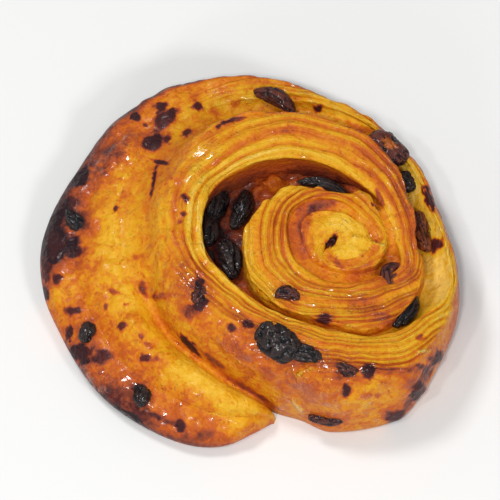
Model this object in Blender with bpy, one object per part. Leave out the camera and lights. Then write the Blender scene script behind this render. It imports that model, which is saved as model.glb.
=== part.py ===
"""Pain aux raisins: one coiled strip of laminated dough, custard between its turns, raisins in it.

The strip is drawn about a pole, the middle of the coil. An angle that keeps growing, turn after turn,
runs along the strip from the pole to the tail, and every section lies in a plane through the pole.
Between two turns runs a groove that custard fills. The groove's radius, width and level say where
both turns stand, so that a turn ends where the custard begins and the next turn begins where it ends.
"""

import math
from typing import NamedTuple

import bpy
import numpy as np
from mathutils import Euler, Vector, noise

MM = 0.001

# Driving dimensions, in millimetres and degrees. The pastry is 115 x 105 x 29.
POLE = (22.8, -1.8)  # middle of the coil, from the middle of the outline
CORE_RADIUS = 0.35  # the pin-hole that is left at the pole
CLEARANCE = 0.3  # between two pieces that touch
STRIP_START, STRIP_END = -500, 970
GROOVE_START, GROOVE_END = -496, 611
OUTSIDE_START = 612  # from here on the strip has no other turn outside it
OUTSIDE_BLEND = 18
STRIP_STEP = 3.8  # between two sections, along the middle of the strip
LARGEST_TURN = 14  # a section's largest angle from the last
TAIL_START, TAIL_TURN = 950, 1.8  # the sections stand closer where the tail rounds off
RIM_ROUND = 1.1
CROWN = 0.5
LAYER_RELIEF = 0.42  # how far the layers stand out on the cut top
TOP_POINTS = 9
SKIN_POINTS = 4
WALL_BOW = 0.7
TUCK = 2.2  # how far the outer skin turns in below its widest place
SWELL = 0.45
SWELL_LENGTH = 9.0
SKIN_SWELL = 0.9
MENISCUS = 0.5


class Groove(NamedTuple):
    """The groove between two turns, at one angle along the coil."""

    angle: float
    radius: float  # pole to the middle of the groove
    width: float
    level: float  # height of the custard
    overhang: float  # how far the outer turn's rim leans over the groove
    skirt: float  # how far the inner turn's skin runs down to the groove


GROOVES = (
    Groove(-520, 0.0, 0.7, 24.6, 0.0, 0.0),
    Groove(-500, 1.5, 1.2, 24.6, -0.3, 0.2),
    Groove(-475, 3.6, 1.2, 24.9, -0.4, 0.4),
    Groove(-450, 5.8, 1.2, 25.2, -0.5, 0.4),
    Groove(-405, 9.2, 1.3, 25.3, -0.5, 0.4),
    Groove(-360, 12.0, 1.4, 25.3, -0.4, 0.4),
    Groove(-315, 9.8, 1.4, 25.4, -0.4, 0.4),
    Groove(-270, 10.4, 2.2, 24.4, -0.8, 1.0),
    Groove(-225, 11.9, 2.4, 24.2, -0.9, 1.0),
    Groove(-180, 9.8, 2.6, 24.2, -0.9, 1.0),
    Groove(-135, 9.6, 2.6, 24.2, -0.9, 1.0),
    Groove(-90, 10.5, 2.6, 24.2, -0.9, 1.0),
    Groove(-45, 14.4, 2.8, 23.4, -0.6, 0.8),
    Groove(-22, 17.4, 4.4, 21.8, -0.4, 0.5),
    Groove(0, 16.3, 1.6, 25.0, -0.5, 0.4),
    Groove(22, 15.6, 1.6, 25.2, -0.5, 0.4),
    Groove(45, 16.6, 2.4, 22.0, 0.2, 0.3),
    Groove(68, 16.9, 4.0, 19.0, 0.3, 0.4),
    Groove(90, 18.6, 6.4, 16.0, 0.2, 0.4),
    Groove(112, 22.0, 9.0, 14.0, 0.3, 0.4),
    Groove(135, 26.3, 11.6, 13.0, 0.7, 0.3),
    Groove(158, 30.0, 14.6, 12.5, 1.1, 0.3),
    Groove(180, 31.0, 13.0, 12.5, 1.9, 0.2),
    Groove(202, 29.0, 7.6, 14.5, 1.7, 0.2),
    Groove(225, 26.7, 3.2, 19.0, 0.5, 0.3),
    Groove(248, 25.4, 2.6, 21.0, 0.2, 0.4),
    Groove(270, 26.5, 2.2, 22.3, 0.0, 0.4),
    Groove(292, 30.4, 2.2, 21.8, -0.3, 0.5),
    Groove(315, 31.0, 3.4, 19.5, -0.3, 0.6),
    Groove(338, 30.6, 6.6, 16.0, -0.8, 0.6),
    Groove(360, 27.2, 7.0, 15.0, -0.6, 0.6),
    Groove(382, 26.7, 5.6, 15.0, -0.4, 0.5),
    Groove(405, 29.9, 5.0, 15.0, -0.4, 0.5),
    Groove(428, 34.8, 5.2, 15.0, -0.5, 0.6),
    Groove(450, 39.4, 7.0, 15.0, -1.0, 0.9),
    Groove(472, 46.0, 6.6, 15.2, -2.0, 1.6),
    Groove(495, 52.0, 4.0, 15.0, -3.2, 3.4),
    Groove(518, 54.3, 1.8, 14.2, -4.0, 9.0),
    Groove(540, 51.8, 1.5, 13.6, -4.0, 9.6),
    Groove(562, 51.0, 1.5, 12.8, -4.0, 12.6),
    Groove(585, 46.4, 1.5, 10.8, -4.0, 11.6),
    Groove(606, 44.4, 1.5, 7.0, -3.0, 10.4),
    Groove(618, 44.2, 1.5, 4.0, -2.0, 10.4),
)


class Crest(NamedTuple):
    """The top of the strip, at one angle along the coil."""

    angle: float
    inner: float  # height of the rim nearer the pole
    outer: float  # height of the rim farther from it
    layers: float  # 1 where the cut layers show, 0 where smooth skin lies on top


CRESTS = (
    Crest(-500, 25.6, 25.8, 0.3),
    Crest(-405, 26.0, 26.4, 0.3),
    Crest(-270, 26.0, 26.4, 0.4),
    Crest(-135, 25.9, 26.2, 0.4),
    Crest(-45, 26.4, 26.6, 0.9),
    Crest(90, 27.0, 27.0, 1.0),
    Crest(180, 26.8, 26.8, 1.0),
    Crest(270, 26.8, 26.0, 1.0),
    Crest(315, 26.4, 25.2, 1.0),
    Crest(360, 26.6, 26.6, 0.9),
    Crest(405, 27.0, 28.4, 1.0),
    Crest(450, 28.0, 28.8, 1.0),
    Crest(495, 28.2, 28.2, 1.0),
    Crest(540, 28.0, 27.5, 1.0),
    Crest(630, 27.4, 27.0, 1.0),
    Crest(675, 25.0, 24.0, 1.0),
    Crest(698, 22.2, 21.6, 1.0),
    Crest(720, 20.6, 20.0, 1.0),
    Crest(810, 19.6, 19.0, 0.9),
    Crest(832, 17.4, 18.4, 0.5),
    Crest(855, 17.0, 16.4, 0.2),
    Crest(877, 17.0, 13.6, 0.0),
    Crest(900, 16.6, 11.6, 0.0),
    Crest(922, 16.0, 11.0, 0.0),
    Crest(945, 14.4, 10.4, 0.0),
    Crest(960, 11.8, 8.8, 0.0),
    Crest(970, 7.4, 6.4, 0.0),
)


class Outside(NamedTuple):
    """The outer skin where no other turn lies outside it, at one angle along the coil."""

    angle: float
    radius: float  # pole to the widest place of the skin
    height: float  # height of that place
    skirt: float  # how far the skin runs out from the rim to it


OUTSIDES = (
    Outside(612, 45.6, 4.0, 10.8),
    Outside(630, 47.8, 4.0, 11.2),
    Outside(652, 47.8, 4.0, 6.8),
    Outside(664, 44.8, 7.0, 3.4),
    Outside(675, 41.6, 9.0, 2.2),
    Outside(698, 37.8, 10.0, 1.8),
    Outside(720, 34.2, 10.0, 1.6),
    Outside(742, 32.4, 10.0, 1.5),
    Outside(765, 36.0, 10.0, 1.7),
    Outside(788, 41.0, 10.0, 1.8),
    Outside(810, 48.4, 9.0, 2.0),
    Outside(832, 60.0, 8.0, 2.4),
    Outside(855, 72.0, 6.0, 4.0),
    Outside(866, 75.6, 5.4, 6.0),
    Outside(877, 77.2, 5.0, 8.0),
    Outside(896, 81.0, 4.5, 9.5),
    Outside(905, 80.0, 4.5, 9.5),
    Outside(914, 77.4, 4.5, 9.5),
    Outside(930, 73.8, 4.5, 9.5),
    Outside(943, 69.0, 4.0, 9.5),
    Outside(953, 64.8, 3.8, 9.0),
    Outside(960, 59.8, 3.4, 7.0),
    Outside(965, 53.4, 3.2, 4.0),
    Outside(970, 46.6, 3.0, 0.6),
)


class Raisin(NamedTuple):
    """A raisin: its place from the pole, its size, how it lies and how much it is curved."""

    name: str
    place: tuple
    size: tuple  # length, width, height
    yaw: float = 0.0
    pitch: float = 0.0
    roll: float = 0.0
    bend: float = 0.0  # how far the ends turn aside, as a share of the width
    around: int = 10  # points around it


RAISINS = (
    Raisin("raisin_top", (-15.2, 47.4, 18.0), (12.4, 5.6, 5.0), -29, 4, 10, -0.3, 12),
    Raisin("raisin_rim", (15.4, 30.6, 20.0), (12.6, 9.0, 6.6), -39, 2, -14, 0.1, 14),
    Raisin("raisin_rim_small", (20.6, 21.8, 17.2), (6.6, 5.0, 4.6), -62, 0, 0, 0.2),
    Raisin("raisin_right", (24.4, 6.6, 16.8), (12.8, 4.6, 4.4), -76, 0, 10, 0.3, 12),
    Raisin("raisin_seam", (20.4, -19.4, 20.2), (12.0, 3.4, 3.8), 63, 8, 0, 0.4),
    Raisin("raisin_core", (16.4, -9.6, 22.9), (7.6, 6.2, 4.4), 60, 6, 0, -0.5),
    Raisin("raisin_pocket_back", (-31.6, 17.0, 15.0), (9.6, 6.0, 5.0), 78, 0, 12, 0.1, 12),
    Raisin("raisin_pocket_left", (-34.2, 7.8, 14.4), (8.8, 5.8, 4.8), 96, 0, 0, 0.2),
    Raisin("raisin_pocket_mid", (-24.8, 13.8, 15.8), (12.8, 6.2, 6.0), 72, 6, -10, 0.2, 12),
    Raisin("raisin_pocket_front", (-28.2, -1.2, 16.0), (12.0, 6.6, 6.2), -78, 4, 0, -0.1, 12),
    Raisin("raisin_pocket_low", (-34.3, -0.4, 14.4), (5.4, 3.8, 3.8), -78, 0, 0, 0.1),
    Raisin("raisin_pocket_rim", (-2.2, 18.2, 23.2), (14.4, 3.6, 4.0), -15, 4, 0, -0.5, 12),
    Raisin("raisin_band", (-15.6, -31.0, 26.2), (13.0, 11.0, 6.2), -32, 0, 14, 0.1, 14),
    Raisin("raisin_band_tail", (-5.8, -34.6, 25.6), (8.4, 5.2, 4.0), -8, 0, 10, -0.2),
    Raisin("raisin_coil", (-12.2, -16.9, 26.2), (7.0, 4.4, 3.6), -8, 0, 0, -0.5),
    Raisin("raisin_band_small", (3.7, -38.8, 25.0), (7.2, 4.2, 3.4), -20, 4, 10, 0.3),
    Raisin("raisin_skin", (-36.2, -16.6, 25.6), (6.2, 4.4, 3.4), 70, 0, 8, 0.1),
    Raisin("raisin_lobe_left", (-70.6, 11.6, 11.2), (9.6, 5.4, 4.4), -36, 12, 0, 0.3),
    Raisin("raisin_lobe_low", (-67.4, -21.2, 12.0), (6.4, 5.2, 4.0), 75, 0, 0, 0.1),
    Raisin("raisin_lobe_front", (-52.2, -40.0, 11.4), (7.8, 5.4, 4.2), 98, 14, 0, 0.2),
    Raisin("raisin_foot", (-1.4, -46.4, 8.6), (10.6, 3.6, 3.6), -3, -2, 0, 0.3),
)
RAISIN_WRINKLE = 0.11
RAISIN_RINGS = 7

# Colours of the baked surfaces, as linear red, green and blue, with roughness.
DOUGH_FINISH = ((0.72, 0.33, 0.06), 0.35)
CUSTARD_FINISH = ((0.70, 0.42, 0.08), 0.3)
RAISIN_FINISH = ((0.035, 0.016, 0.014), 0.3)


def monotone(angles, values, wanted):
    """Reads a smooth curve through (angles, values) that never overshoots its points."""
    steps = np.diff(angles)
    slopes = np.diff(values) / steps
    tangents = np.zeros(len(values))
    same_way = slopes[:-1] * slopes[1:] > 0
    first = 2 * steps[1:] + steps[:-1]
    second = steps[1:] + 2 * steps[:-1]
    with np.errstate(divide="ignore", invalid="ignore"):
        mean = (first + second) / (first / slopes[:-1] + second / slopes[1:])
    tangents[1:-1] = np.where(same_way, mean, 0.0)
    tangents[0], tangents[-1] = slopes[0], slopes[-1]
    wanted = np.clip(wanted, angles[0], angles[-1])
    k = np.clip(np.searchsorted(angles, wanted) - 1, 0, len(steps) - 1)
    t = (wanted - angles[k]) / steps[k]
    return (
        values[k] * (1 + 2 * t) * (1 - t) ** 2
        + tangents[k] * steps[k] * t * (1 - t) ** 2
        + values[k + 1] * t * t * (3 - 2 * t)
        + tangents[k + 1] * steps[k] * t * t * (t - 1)
    )


def at(table, angle):
    """The row of a table at any angle, read from smooth curves through its rows."""
    columns = np.array(table, float).T
    kind = type(table[0])
    return kind(angle, *(float(monotone(columns[0], c, angle)) for c in columns[1:]))


def eased(share):
    """0 to 1 with flat ends."""
    share = min(1.0, max(0.0, share))
    return share * share * (3 - 2 * share)


def swell(angle, radius, amount):
    """The slow unevenness of baked dough, in millimetres of height."""
    turn = math.radians(angle)
    place = Vector((radius * math.cos(turn), radius * math.sin(turn), 0.02 * angle))
    return amount * noise.noise(place / SWELL_LENGTH)


class Section(NamedTuple):
    """The measures that one section of the strip is drawn from."""

    foot: float  # radius of the wall nearer the pole
    floor: float  # custard level on that side
    inner: float  # radius and height of the two rims
    inner_z: float
    outer: float
    outer_z: float
    low: float  # radius and height where the outer skin ends
    low_z: float
    base: float  # radius where the section meets the floor outside
    layers: float


def section_at(angle):
    """Works out the strip's section at an angle from the grooves, the crest and the outline."""
    inside, beside = at(GROOVES, angle - 360), at(GROOVES, angle)
    crest, outline = at(CRESTS, angle), at(OUTSIDES, angle)
    foot = max(CORE_RADIUS, inside.radius + inside.width / 2)
    inner = foot - inside.overhang
    free = eased((angle - OUTSIDE_START) / OUTSIDE_BLEND)
    low = (1 - free) * (beside.radius - beside.width / 2) + free * outline.radius
    low_z = (1 - free) * beside.level + free * outline.height
    skirt = (1 - free) * beside.skirt + free * outline.skirt
    outer = max(low - skirt, inner + 0.2)
    base = low - free * min(TUCK, 0.4 * (low - foot))
    return Section(
        foot, inside.level, inner, crest.inner, outer, crest.outer, low, low_z, base, crest.layers
    )


def top_swell(section, angle, radius):
    """The unevenness of the top, which is larger where smooth skin lies on it."""
    amount = SKIN_SWELL + (SWELL - SKIN_SWELL) * section.layers
    return swell(angle, radius, amount)


def wall(section, angle):
    """The wall nearer the pole, floor to rim, as (radius, height) points."""
    rounding = min(RIM_ROUND, 0.25 * (section.outer - section.inner))
    rim = section.inner_z - rounding + top_swell(section, angle, section.inner)
    rise = rim - section.floor
    middle = 0.5 * (section.foot + section.inner) + min(WALL_BOW, 0.08 * rise)
    return [
        (section.foot, 0.0),
        (section.foot, section.floor),
        (middle, section.floor + 0.5 * rise),
        (section.inner, rim),
    ]


def top(section, angle):
    """The top from rim to rim, with the cut layers standing out as alternate ridges."""
    width = section.outer - section.inner
    rounding = min(RIM_ROUND, 0.25 * width)
    points = []
    for i in range(TOP_POINTS):
        share = i / (TOP_POINTS - 1)
        radius = section.inner + 0.35 * rounding + share * (width - 0.7 * rounding)
        height = section.inner_z + share * (section.outer_z - section.inner_z)
        height += CROWN * math.sin(math.pi * share)
        edge = min(share, 1 - share) * (TOP_POINTS - 1)
        height -= 0.35 * rounding * (edge < 1)
        relief = LAYER_RELIEF * section.layers * min(1.0, width / 6)
        height += relief * (1 if i % 2 else -1) * (edge >= 1)
        points.append((radius, height + top_swell(section, angle, radius)))
    return points


def skin(section, angle):
    """The outer skin from the rim down, as a quarter of an oval."""
    run, drop = section.low - section.outer, section.outer_z - section.low_z
    points = []
    for i in range(1, SKIN_POINTS):
        turn = 0.5 * math.pi * i / SKIN_POINTS
        radius = section.outer + run * math.sin(turn)
        height = section.low_z + drop * math.cos(turn)
        fade = math.sin(2 * turn) * min(1.0, run / 4)
        points.append((radius, height + swell(angle, radius, SKIN_SWELL * fade)))
    points.append((section.low, section.low_z))
    points.append((section.base, 0.0))
    return points


def strip_ring(angle):
    """One section of the strip, as (radius, height) points once round."""
    section = section_at(angle)
    return wall(section, angle) + top(section, angle) + skin(section, angle)


def custard_ring(angle):
    """One section of the custard, which stands a clearance off both turns."""
    groove = at(GROOVES, angle)
    low = groove.radius - groove.width / 2 + CLEARANCE
    high = groove.radius + groove.width / 2 - CLEARANCE
    dip = min(MENISCUS, 0.15 * (high - low))
    middle = 0.5 * (low + high)
    level = groove.level + swell(angle, middle, SWELL)
    return [(low, 0.0), (low, level), (middle, level - dip), (high, level), (high, 0.0)]


def strip_angles():
    """Angles from the strip's start to its end, about one step apart along its middle."""
    found = [float(STRIP_START)]
    while found[-1] < STRIP_END:
        section = section_at(found[-1])
        middle = 0.5 * (section.foot + section.low)
        largest = TAIL_TURN if found[-1] > TAIL_START else LARGEST_TURN
        found.append(found[-1] + min(largest, math.degrees(STRIP_STEP / max(middle, 1.0))))
    found[-1] = float(STRIP_END)
    return found


def custard_angles():
    """The strip's own angles over the length of the custard."""
    between = [a for a in strip_angles() if GROOVE_START + 1 < a < GROOVE_END - 1]
    return [float(GROOVE_START), *between, float(GROOVE_END)]


def swept(name, angles, ring_of):
    """A closed mesh through the sections at these angles, with a flat cap at each end."""
    rings = [ring_of(angle) for angle in angles]
    count = len(rings[0])
    points = []
    for angle, ring in zip(angles, rings):
        turn = math.radians(angle)
        for radius, height in ring:
            x = POLE[0] + radius * math.cos(turn)
            y = POLE[1] + radius * math.sin(turn)
            points.append((x * MM, y * MM, height * MM))
    faces = []
    for i in range(len(rings) - 1):
        for j in range(count):
            after = (j + 1) % count
            here, there = i * count, (i + 1) * count
            faces.append((here + j, here + after, there + after, there + j))
    last = (len(rings) - 1) * count
    faces.append(tuple(range(count))[::-1])
    faces.append(tuple(last + j for j in range(count)))
    mesh = bpy.data.meshes.new(name)
    mesh.from_pydata(points, [], faces)
    mesh.update()
    return mesh


def raisin_mesh(raisin, grow=0.0):
    """A wrinkled raisin along X about its middle, grown by that many millimetres for its socket."""
    length, width, height = (0.5 * (size + 2 * grow) for size in raisin.size)
    around, rings = raisin.around, RAISIN_RINGS
    phase = sum(map(ord, raisin.name))
    points = [(-length, raisin.bend * width, 0.0)]
    for i in range(1, rings):
        turn = math.pi * i / rings
        along = -math.cos(turn)
        full = math.sin(turn) ** 0.75
        for j in range(around):
            side = 2 * math.pi * j / around
            wrinkle = RAISIN_WRINKLE * math.sin(5 * side + 1.4 * along + phase)
            wrinkle += 0.5 * RAISIN_WRINKLE * math.sin(7 * along + 2 * side + phase)
            out = full * (1 + wrinkle)
            y = width * out * math.cos(side) + raisin.bend * width * along * along
            points.append((length * along, y, height * out * math.sin(side)))
    points.append((length, raisin.bend * width, 0.0))
    faces = [(0, 1 + (j + 1) % around, 1 + j) for j in range(around)]
    for i in range(rings - 2):
        for j in range(around):
            after = (j + 1) % around
            here, there = 1 + i * around, 1 + (i + 1) * around
            faces.append((here + j, here + after, there + after))
            faces.append((here + j, there + after, there + j))
    last, first = len(points) - 1, len(points) - 1 - around
    faces += [(last, first + j, first + (j + 1) % around) for j in range(around)]
    mesh = bpy.data.meshes.new(raisin.name)
    mesh.from_pydata([Vector(p) * MM for p in points], [], faces)
    mesh.update()
    return mesh


def material(name, finish):
    """A plain baked surface of one colour."""
    made = bpy.data.materials.new(name)
    made.use_nodes = True
    shader = made.node_tree.nodes["Principled BSDF"]
    shader.inputs["Base Color"].default_value = (*finish[0], 1.0)
    shader.inputs["Roughness"].default_value = finish[1]
    shader.inputs["Metallic"].default_value = 0.0
    return made


def add(name, mesh, collection, finish=None):
    """Puts a mesh in the scene as a named object."""
    made = bpy.data.objects.new(name, mesh)
    collection.objects.link(made)
    if finish:
        mesh.materials.append(finish)
    return made


def lay(obj, raisin):
    """Places a raisin, or its socket, by location and rotation."""
    x, y, z = raisin.place
    obj.location = Vector((POLE[0] + x, POLE[1] + y, z)) * MM
    obj.rotation_euler = Euler([math.radians(a) for a in (raisin.roll, raisin.pitch, raisin.yaw)])


def cut_sockets(obj, sockets):
    """Cuts the raisins' sockets out of a piece."""
    cut = obj.modifiers.new("Sockets", "BOOLEAN")
    cut.operation = "DIFFERENCE"
    cut.solver = "EXACT"
    cut.operand_type = "COLLECTION"
    cut.collection = sockets


def clear_scene():
    """Starts from an empty scene."""
    for obj in list(bpy.data.objects):
        bpy.data.objects.remove(obj)


def main():
    """Builds the dough, the custard and the raisins."""
    clear_scene()
    scene = bpy.context.scene.collection
    sockets = bpy.data.collections.new("Sockets")
    scene.children.link(sockets)

    dough_finish = material("dough", DOUGH_FINISH)
    dough = add("dough", swept("dough", strip_angles(), strip_ring), scene, dough_finish)
    custard_finish = material("custard", CUSTARD_FINISH)
    custard_shape = swept("custard", custard_angles(), custard_ring)
    custard = add("custard", custard_shape, scene, custard_finish)
    raisin_finish = material("raisin", RAISIN_FINISH)
    for raisin in RAISINS:
        lay(add(raisin.name, raisin_mesh(raisin), scene, raisin_finish), raisin)
        socket = add(f"socket_{raisin.name}", raisin_mesh(raisin, CLEARANCE), sockets)
        socket.hide_render = True
        socket.display_type = "WIRE"
        lay(socket, raisin)
    cut_sockets(dough, sockets)
    cut_sockets(custard, sockets)


main()
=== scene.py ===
"""Looks for the pain aux raisins: baked dough, custard and raisins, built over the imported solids.

The dough is one coiled strip. An angle that keeps growing runs along it from the pole, the middle of
the coil, to the tail, and the strip's sections are drawn from the same measures as the solids are.
Lengths are in millimetres and angles in degrees until a mesh is made.
"""

from __future__ import annotations

import logging
import math
from dataclasses import dataclass
from enum import Enum
from typing import NamedTuple

import bpy
import numpy as np
from mathutils import Euler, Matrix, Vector, noise
from mathutils.bvhtree import BVHTree

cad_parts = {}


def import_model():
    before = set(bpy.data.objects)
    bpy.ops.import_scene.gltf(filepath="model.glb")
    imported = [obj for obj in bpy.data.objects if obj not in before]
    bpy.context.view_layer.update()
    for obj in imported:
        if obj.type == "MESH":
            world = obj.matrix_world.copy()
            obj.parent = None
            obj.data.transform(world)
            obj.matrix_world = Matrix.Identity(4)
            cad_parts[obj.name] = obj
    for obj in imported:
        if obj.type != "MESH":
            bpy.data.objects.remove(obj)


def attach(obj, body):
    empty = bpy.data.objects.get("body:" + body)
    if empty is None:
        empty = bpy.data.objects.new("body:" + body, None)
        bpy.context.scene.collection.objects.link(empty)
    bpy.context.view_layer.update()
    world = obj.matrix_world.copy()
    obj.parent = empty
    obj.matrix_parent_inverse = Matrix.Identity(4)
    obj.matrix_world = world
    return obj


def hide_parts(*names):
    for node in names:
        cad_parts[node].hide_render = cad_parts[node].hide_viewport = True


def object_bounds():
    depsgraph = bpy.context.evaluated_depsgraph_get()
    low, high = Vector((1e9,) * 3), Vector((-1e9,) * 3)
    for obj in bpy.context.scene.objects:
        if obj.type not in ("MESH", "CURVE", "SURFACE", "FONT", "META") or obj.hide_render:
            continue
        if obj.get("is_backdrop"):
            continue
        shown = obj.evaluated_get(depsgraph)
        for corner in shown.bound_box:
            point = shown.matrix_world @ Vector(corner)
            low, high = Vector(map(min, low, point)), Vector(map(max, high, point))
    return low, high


LOG = logging.getLogger("pastry")
MM = 0.001
BODY = "root"
POLE = Vector((22.8, -1.8, 0.0))
Socket = bpy.types.NodeSocket
Carried = dict[str, np.ndarray]  # what each point carries, by name
Band = tuple[float, float]  # where a smooth step begins and ends


class Groove(NamedTuple):
    """The groove between two turns, at one angle along the coil."""

    angle: float
    radius: float
    width: float
    level: float
    overhang: float
    skirt: float


class Crest(NamedTuple):
    """The top of the strip, at one angle along the coil."""

    angle: float
    inner: float
    outer: float
    layers: float


class Outside(NamedTuple):
    """The outer skin where no other turn lies outside it."""

    angle: float
    radius: float
    height: float
    skirt: float


class Bake(NamedTuple):
    """How far each part of a section has browned, from 0, pale, to 1, burnt."""

    angle: float
    inner: float
    middle: float
    outer: float
    skin: float
    edge: float


class Fill(NamedTuple):
    """How the custard lies in its groove, at one angle along the coil."""

    angle: float
    inner: float  # millimetres above the groove's level, beside the inner turn
    outer: float  # and beside the outer turn
    flat: float  # 0 hollow in between, 1 level
    brown: float
    lumps: float
    ball: float  # radius of the ball that smooths the dough's own seam, 0 where custard shows


class Pitch(NamedTuple):
    """The distance from one cut layer to the next, at one angle along the coil."""

    angle: float
    pitch: float


class Line(NamedTuple):
    """A thin flake edge, pale with a painted highlight, or a crack, dark, which is painted shade where it
    follows a fold, drawn where the photograph shows it.
    """

    start: tuple[float, float]  # pixels from the left and from the top
    end: tuple[float, float]
    flake: float = 0.0
    crack: float = 0.0


class Mark(NamedTuple):
    """A spot, patch, blister or dent, where the photograph shows it."""

    across: float  # pixel of the 500 x 500 photograph, from its left
    down: float  # and from its top
    length: float  # half-lengths in millimetres, along and across its own direction
    width: float
    turn: float = 0.0  # direction in the picture, anticlockwise from the right
    brown: float = 0.0  # added browning, soft
    burn: float = 0.0  # burnt core, sharp
    wet: float = 0.0
    rise: float = 0.0  # millimetres


def rows(kind: type, *values: tuple) -> tuple:
    """The rows of a table, each made into its kind."""
    return tuple(kind(*value) for value in values)


GROOVES = rows(
    Groove,
    (-520, 0, 0.7, 24.6, 0, 0), (-500, 1.5, 1.2, 24.6, -0.3, 0.2), (-475, 3.6, 1.2, 24.9, -0.4, 0.4),
    (-450, 5.8, 1.2, 25.2, -0.5, 0.4), (-405, 9.2, 1.3, 25.3, -0.5, 0.4), (-360, 12, 1.4, 25.3, -0.4, 0.4),
    (-315, 9.8, 1.4, 25.4, -0.4, 0.4), (-270, 10.4, 2.2, 24.4, -0.8, 1), (-225, 11.9, 2.4, 24.2, -0.9, 1),
    (-180, 9.8, 2.6, 24.2, -0.9, 1), (-135, 9.6, 2.6, 24.2, -0.9, 1), (-90, 10.5, 2.6, 24.2, -0.9, 1),
    (-45, 14.4, 2.8, 23.4, -0.6, 0.8), (-22, 17.4, 4.4, 21.8, -0.4, 0.5), (0, 16.3, 1.6, 25, -0.5, 0.4),
    (22, 15.6, 1.6, 25.2, -0.5, 0.4), (45, 16.6, 2.4, 22, 0.2, 0.3), (68, 16.9, 4, 19, 0.3, 0.4),
    (90, 18.6, 6.4, 16, 0.2, 0.4), (112, 22, 9, 14, 0.3, 0.4), (135, 26.3, 11.6, 13, 0.7, 0.3),
    (158, 30, 14.6, 12.5, 1.1, 0.3), (180, 31, 13, 12.5, 1.9, 0.2), (202, 29, 7.6, 14.5, 1.7, 0.2),
    (225, 26.7, 3.2, 19, 0.5, 0.3), (248, 25.4, 2.6, 21, 0.2, 0.4), (270, 26.5, 2.2, 22.3, 0, 0.4),
    (292, 30.4, 2.2, 21.8, -0.3, 0.5), (315, 31, 3.4, 19.5, -0.3, 0.6), (338, 30.6, 6.6, 16, -0.8, 0.6),
    (360, 27.2, 7, 15, -0.6, 0.6), (382, 26.7, 5.6, 15, -0.4, 0.5), (405, 29.9, 5, 15, -0.4, 0.5),
    (428, 34.8, 5.2, 15, -0.5, 0.6), (450, 39.4, 7, 15, -1, 0.9), (472, 46, 6.6, 15.2, -2, 1.6),
    (495, 52, 4, 15, -3.2, 3.4), (518, 54.3, 1.8, 14.2, -4, 9), (540, 51.8, 1.5, 13.6, -4, 9.6),
    (562, 51, 1.5, 12.8, -4, 12.6), (585, 46.4, 1.5, 10.8, -4, 11.6), (606, 44.4, 1.5, 7, -3, 10.4),
    (618, 44.2, 1.5, 4, -2, 10.4),
)

CRESTS = rows(
    Crest,
    (-500, 25.6, 25.8, 0.3), (-405, 26, 26.4, 0.3), (-270, 26, 26.4, 0.4), (-135, 25.9, 26.2, 0.4),
    (-45, 26.4, 26.6, 0.9), (90, 27, 27, 1), (180, 26.8, 26.8, 1), (270, 26.8, 26, 1), (315, 26.4, 25.2, 1),
    (360, 26.6, 26.6, 0.9), (405, 27, 28.4, 1), (450, 28, 28.8, 1), (495, 28.2, 28.2, 1),
    (540, 28, 27.5, 1), (630, 27.4, 27, 1), (675, 25, 24, 1), (698, 22.2, 21.6, 1), (720, 20.6, 20, 1),
    (810, 19.6, 19, 0.9), (832, 17.4, 18.4, 0.5), (855, 17, 16.4, 0.2), (877, 17, 13.6, 0),
    (900, 16.6, 11.6, 0), (922, 16, 11, 0), (945, 14.4, 10.4, 0), (960, 11.8, 8.8, 0), (970, 7.4, 6.4, 0),
)

OUTSIDES = rows(
    Outside,
    (612, 45.6, 4, 10.8), (630, 47.8, 4, 11.2), (652, 47.8, 4, 6.8), (664, 44.8, 7, 3.4),
    (675, 41.6, 9, 2.2), (698, 37.8, 10, 1.8), (720, 34.2, 10, 1.6), (742, 32.4, 10, 1.5),
    (765, 36, 10, 1.7), (788, 41, 10, 1.8), (810, 48.4, 9, 2), (832, 60, 8, 2.4), (855, 72, 6, 4),
    (866, 75.6, 5.4, 6), (877, 77.2, 5, 8), (896, 81, 4.5, 9.5), (905, 80, 4.5, 9.5), (914, 77.4, 4.5, 9.5),
    (930, 73.8, 4.5, 9.5), (943, 69, 4, 9.5), (953, 64.8, 3.8, 9), (960, 59.8, 3.4, 7), (965, 53.4, 3.2, 4),
    (970, 46.6, 3, 0.6),
)

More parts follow.
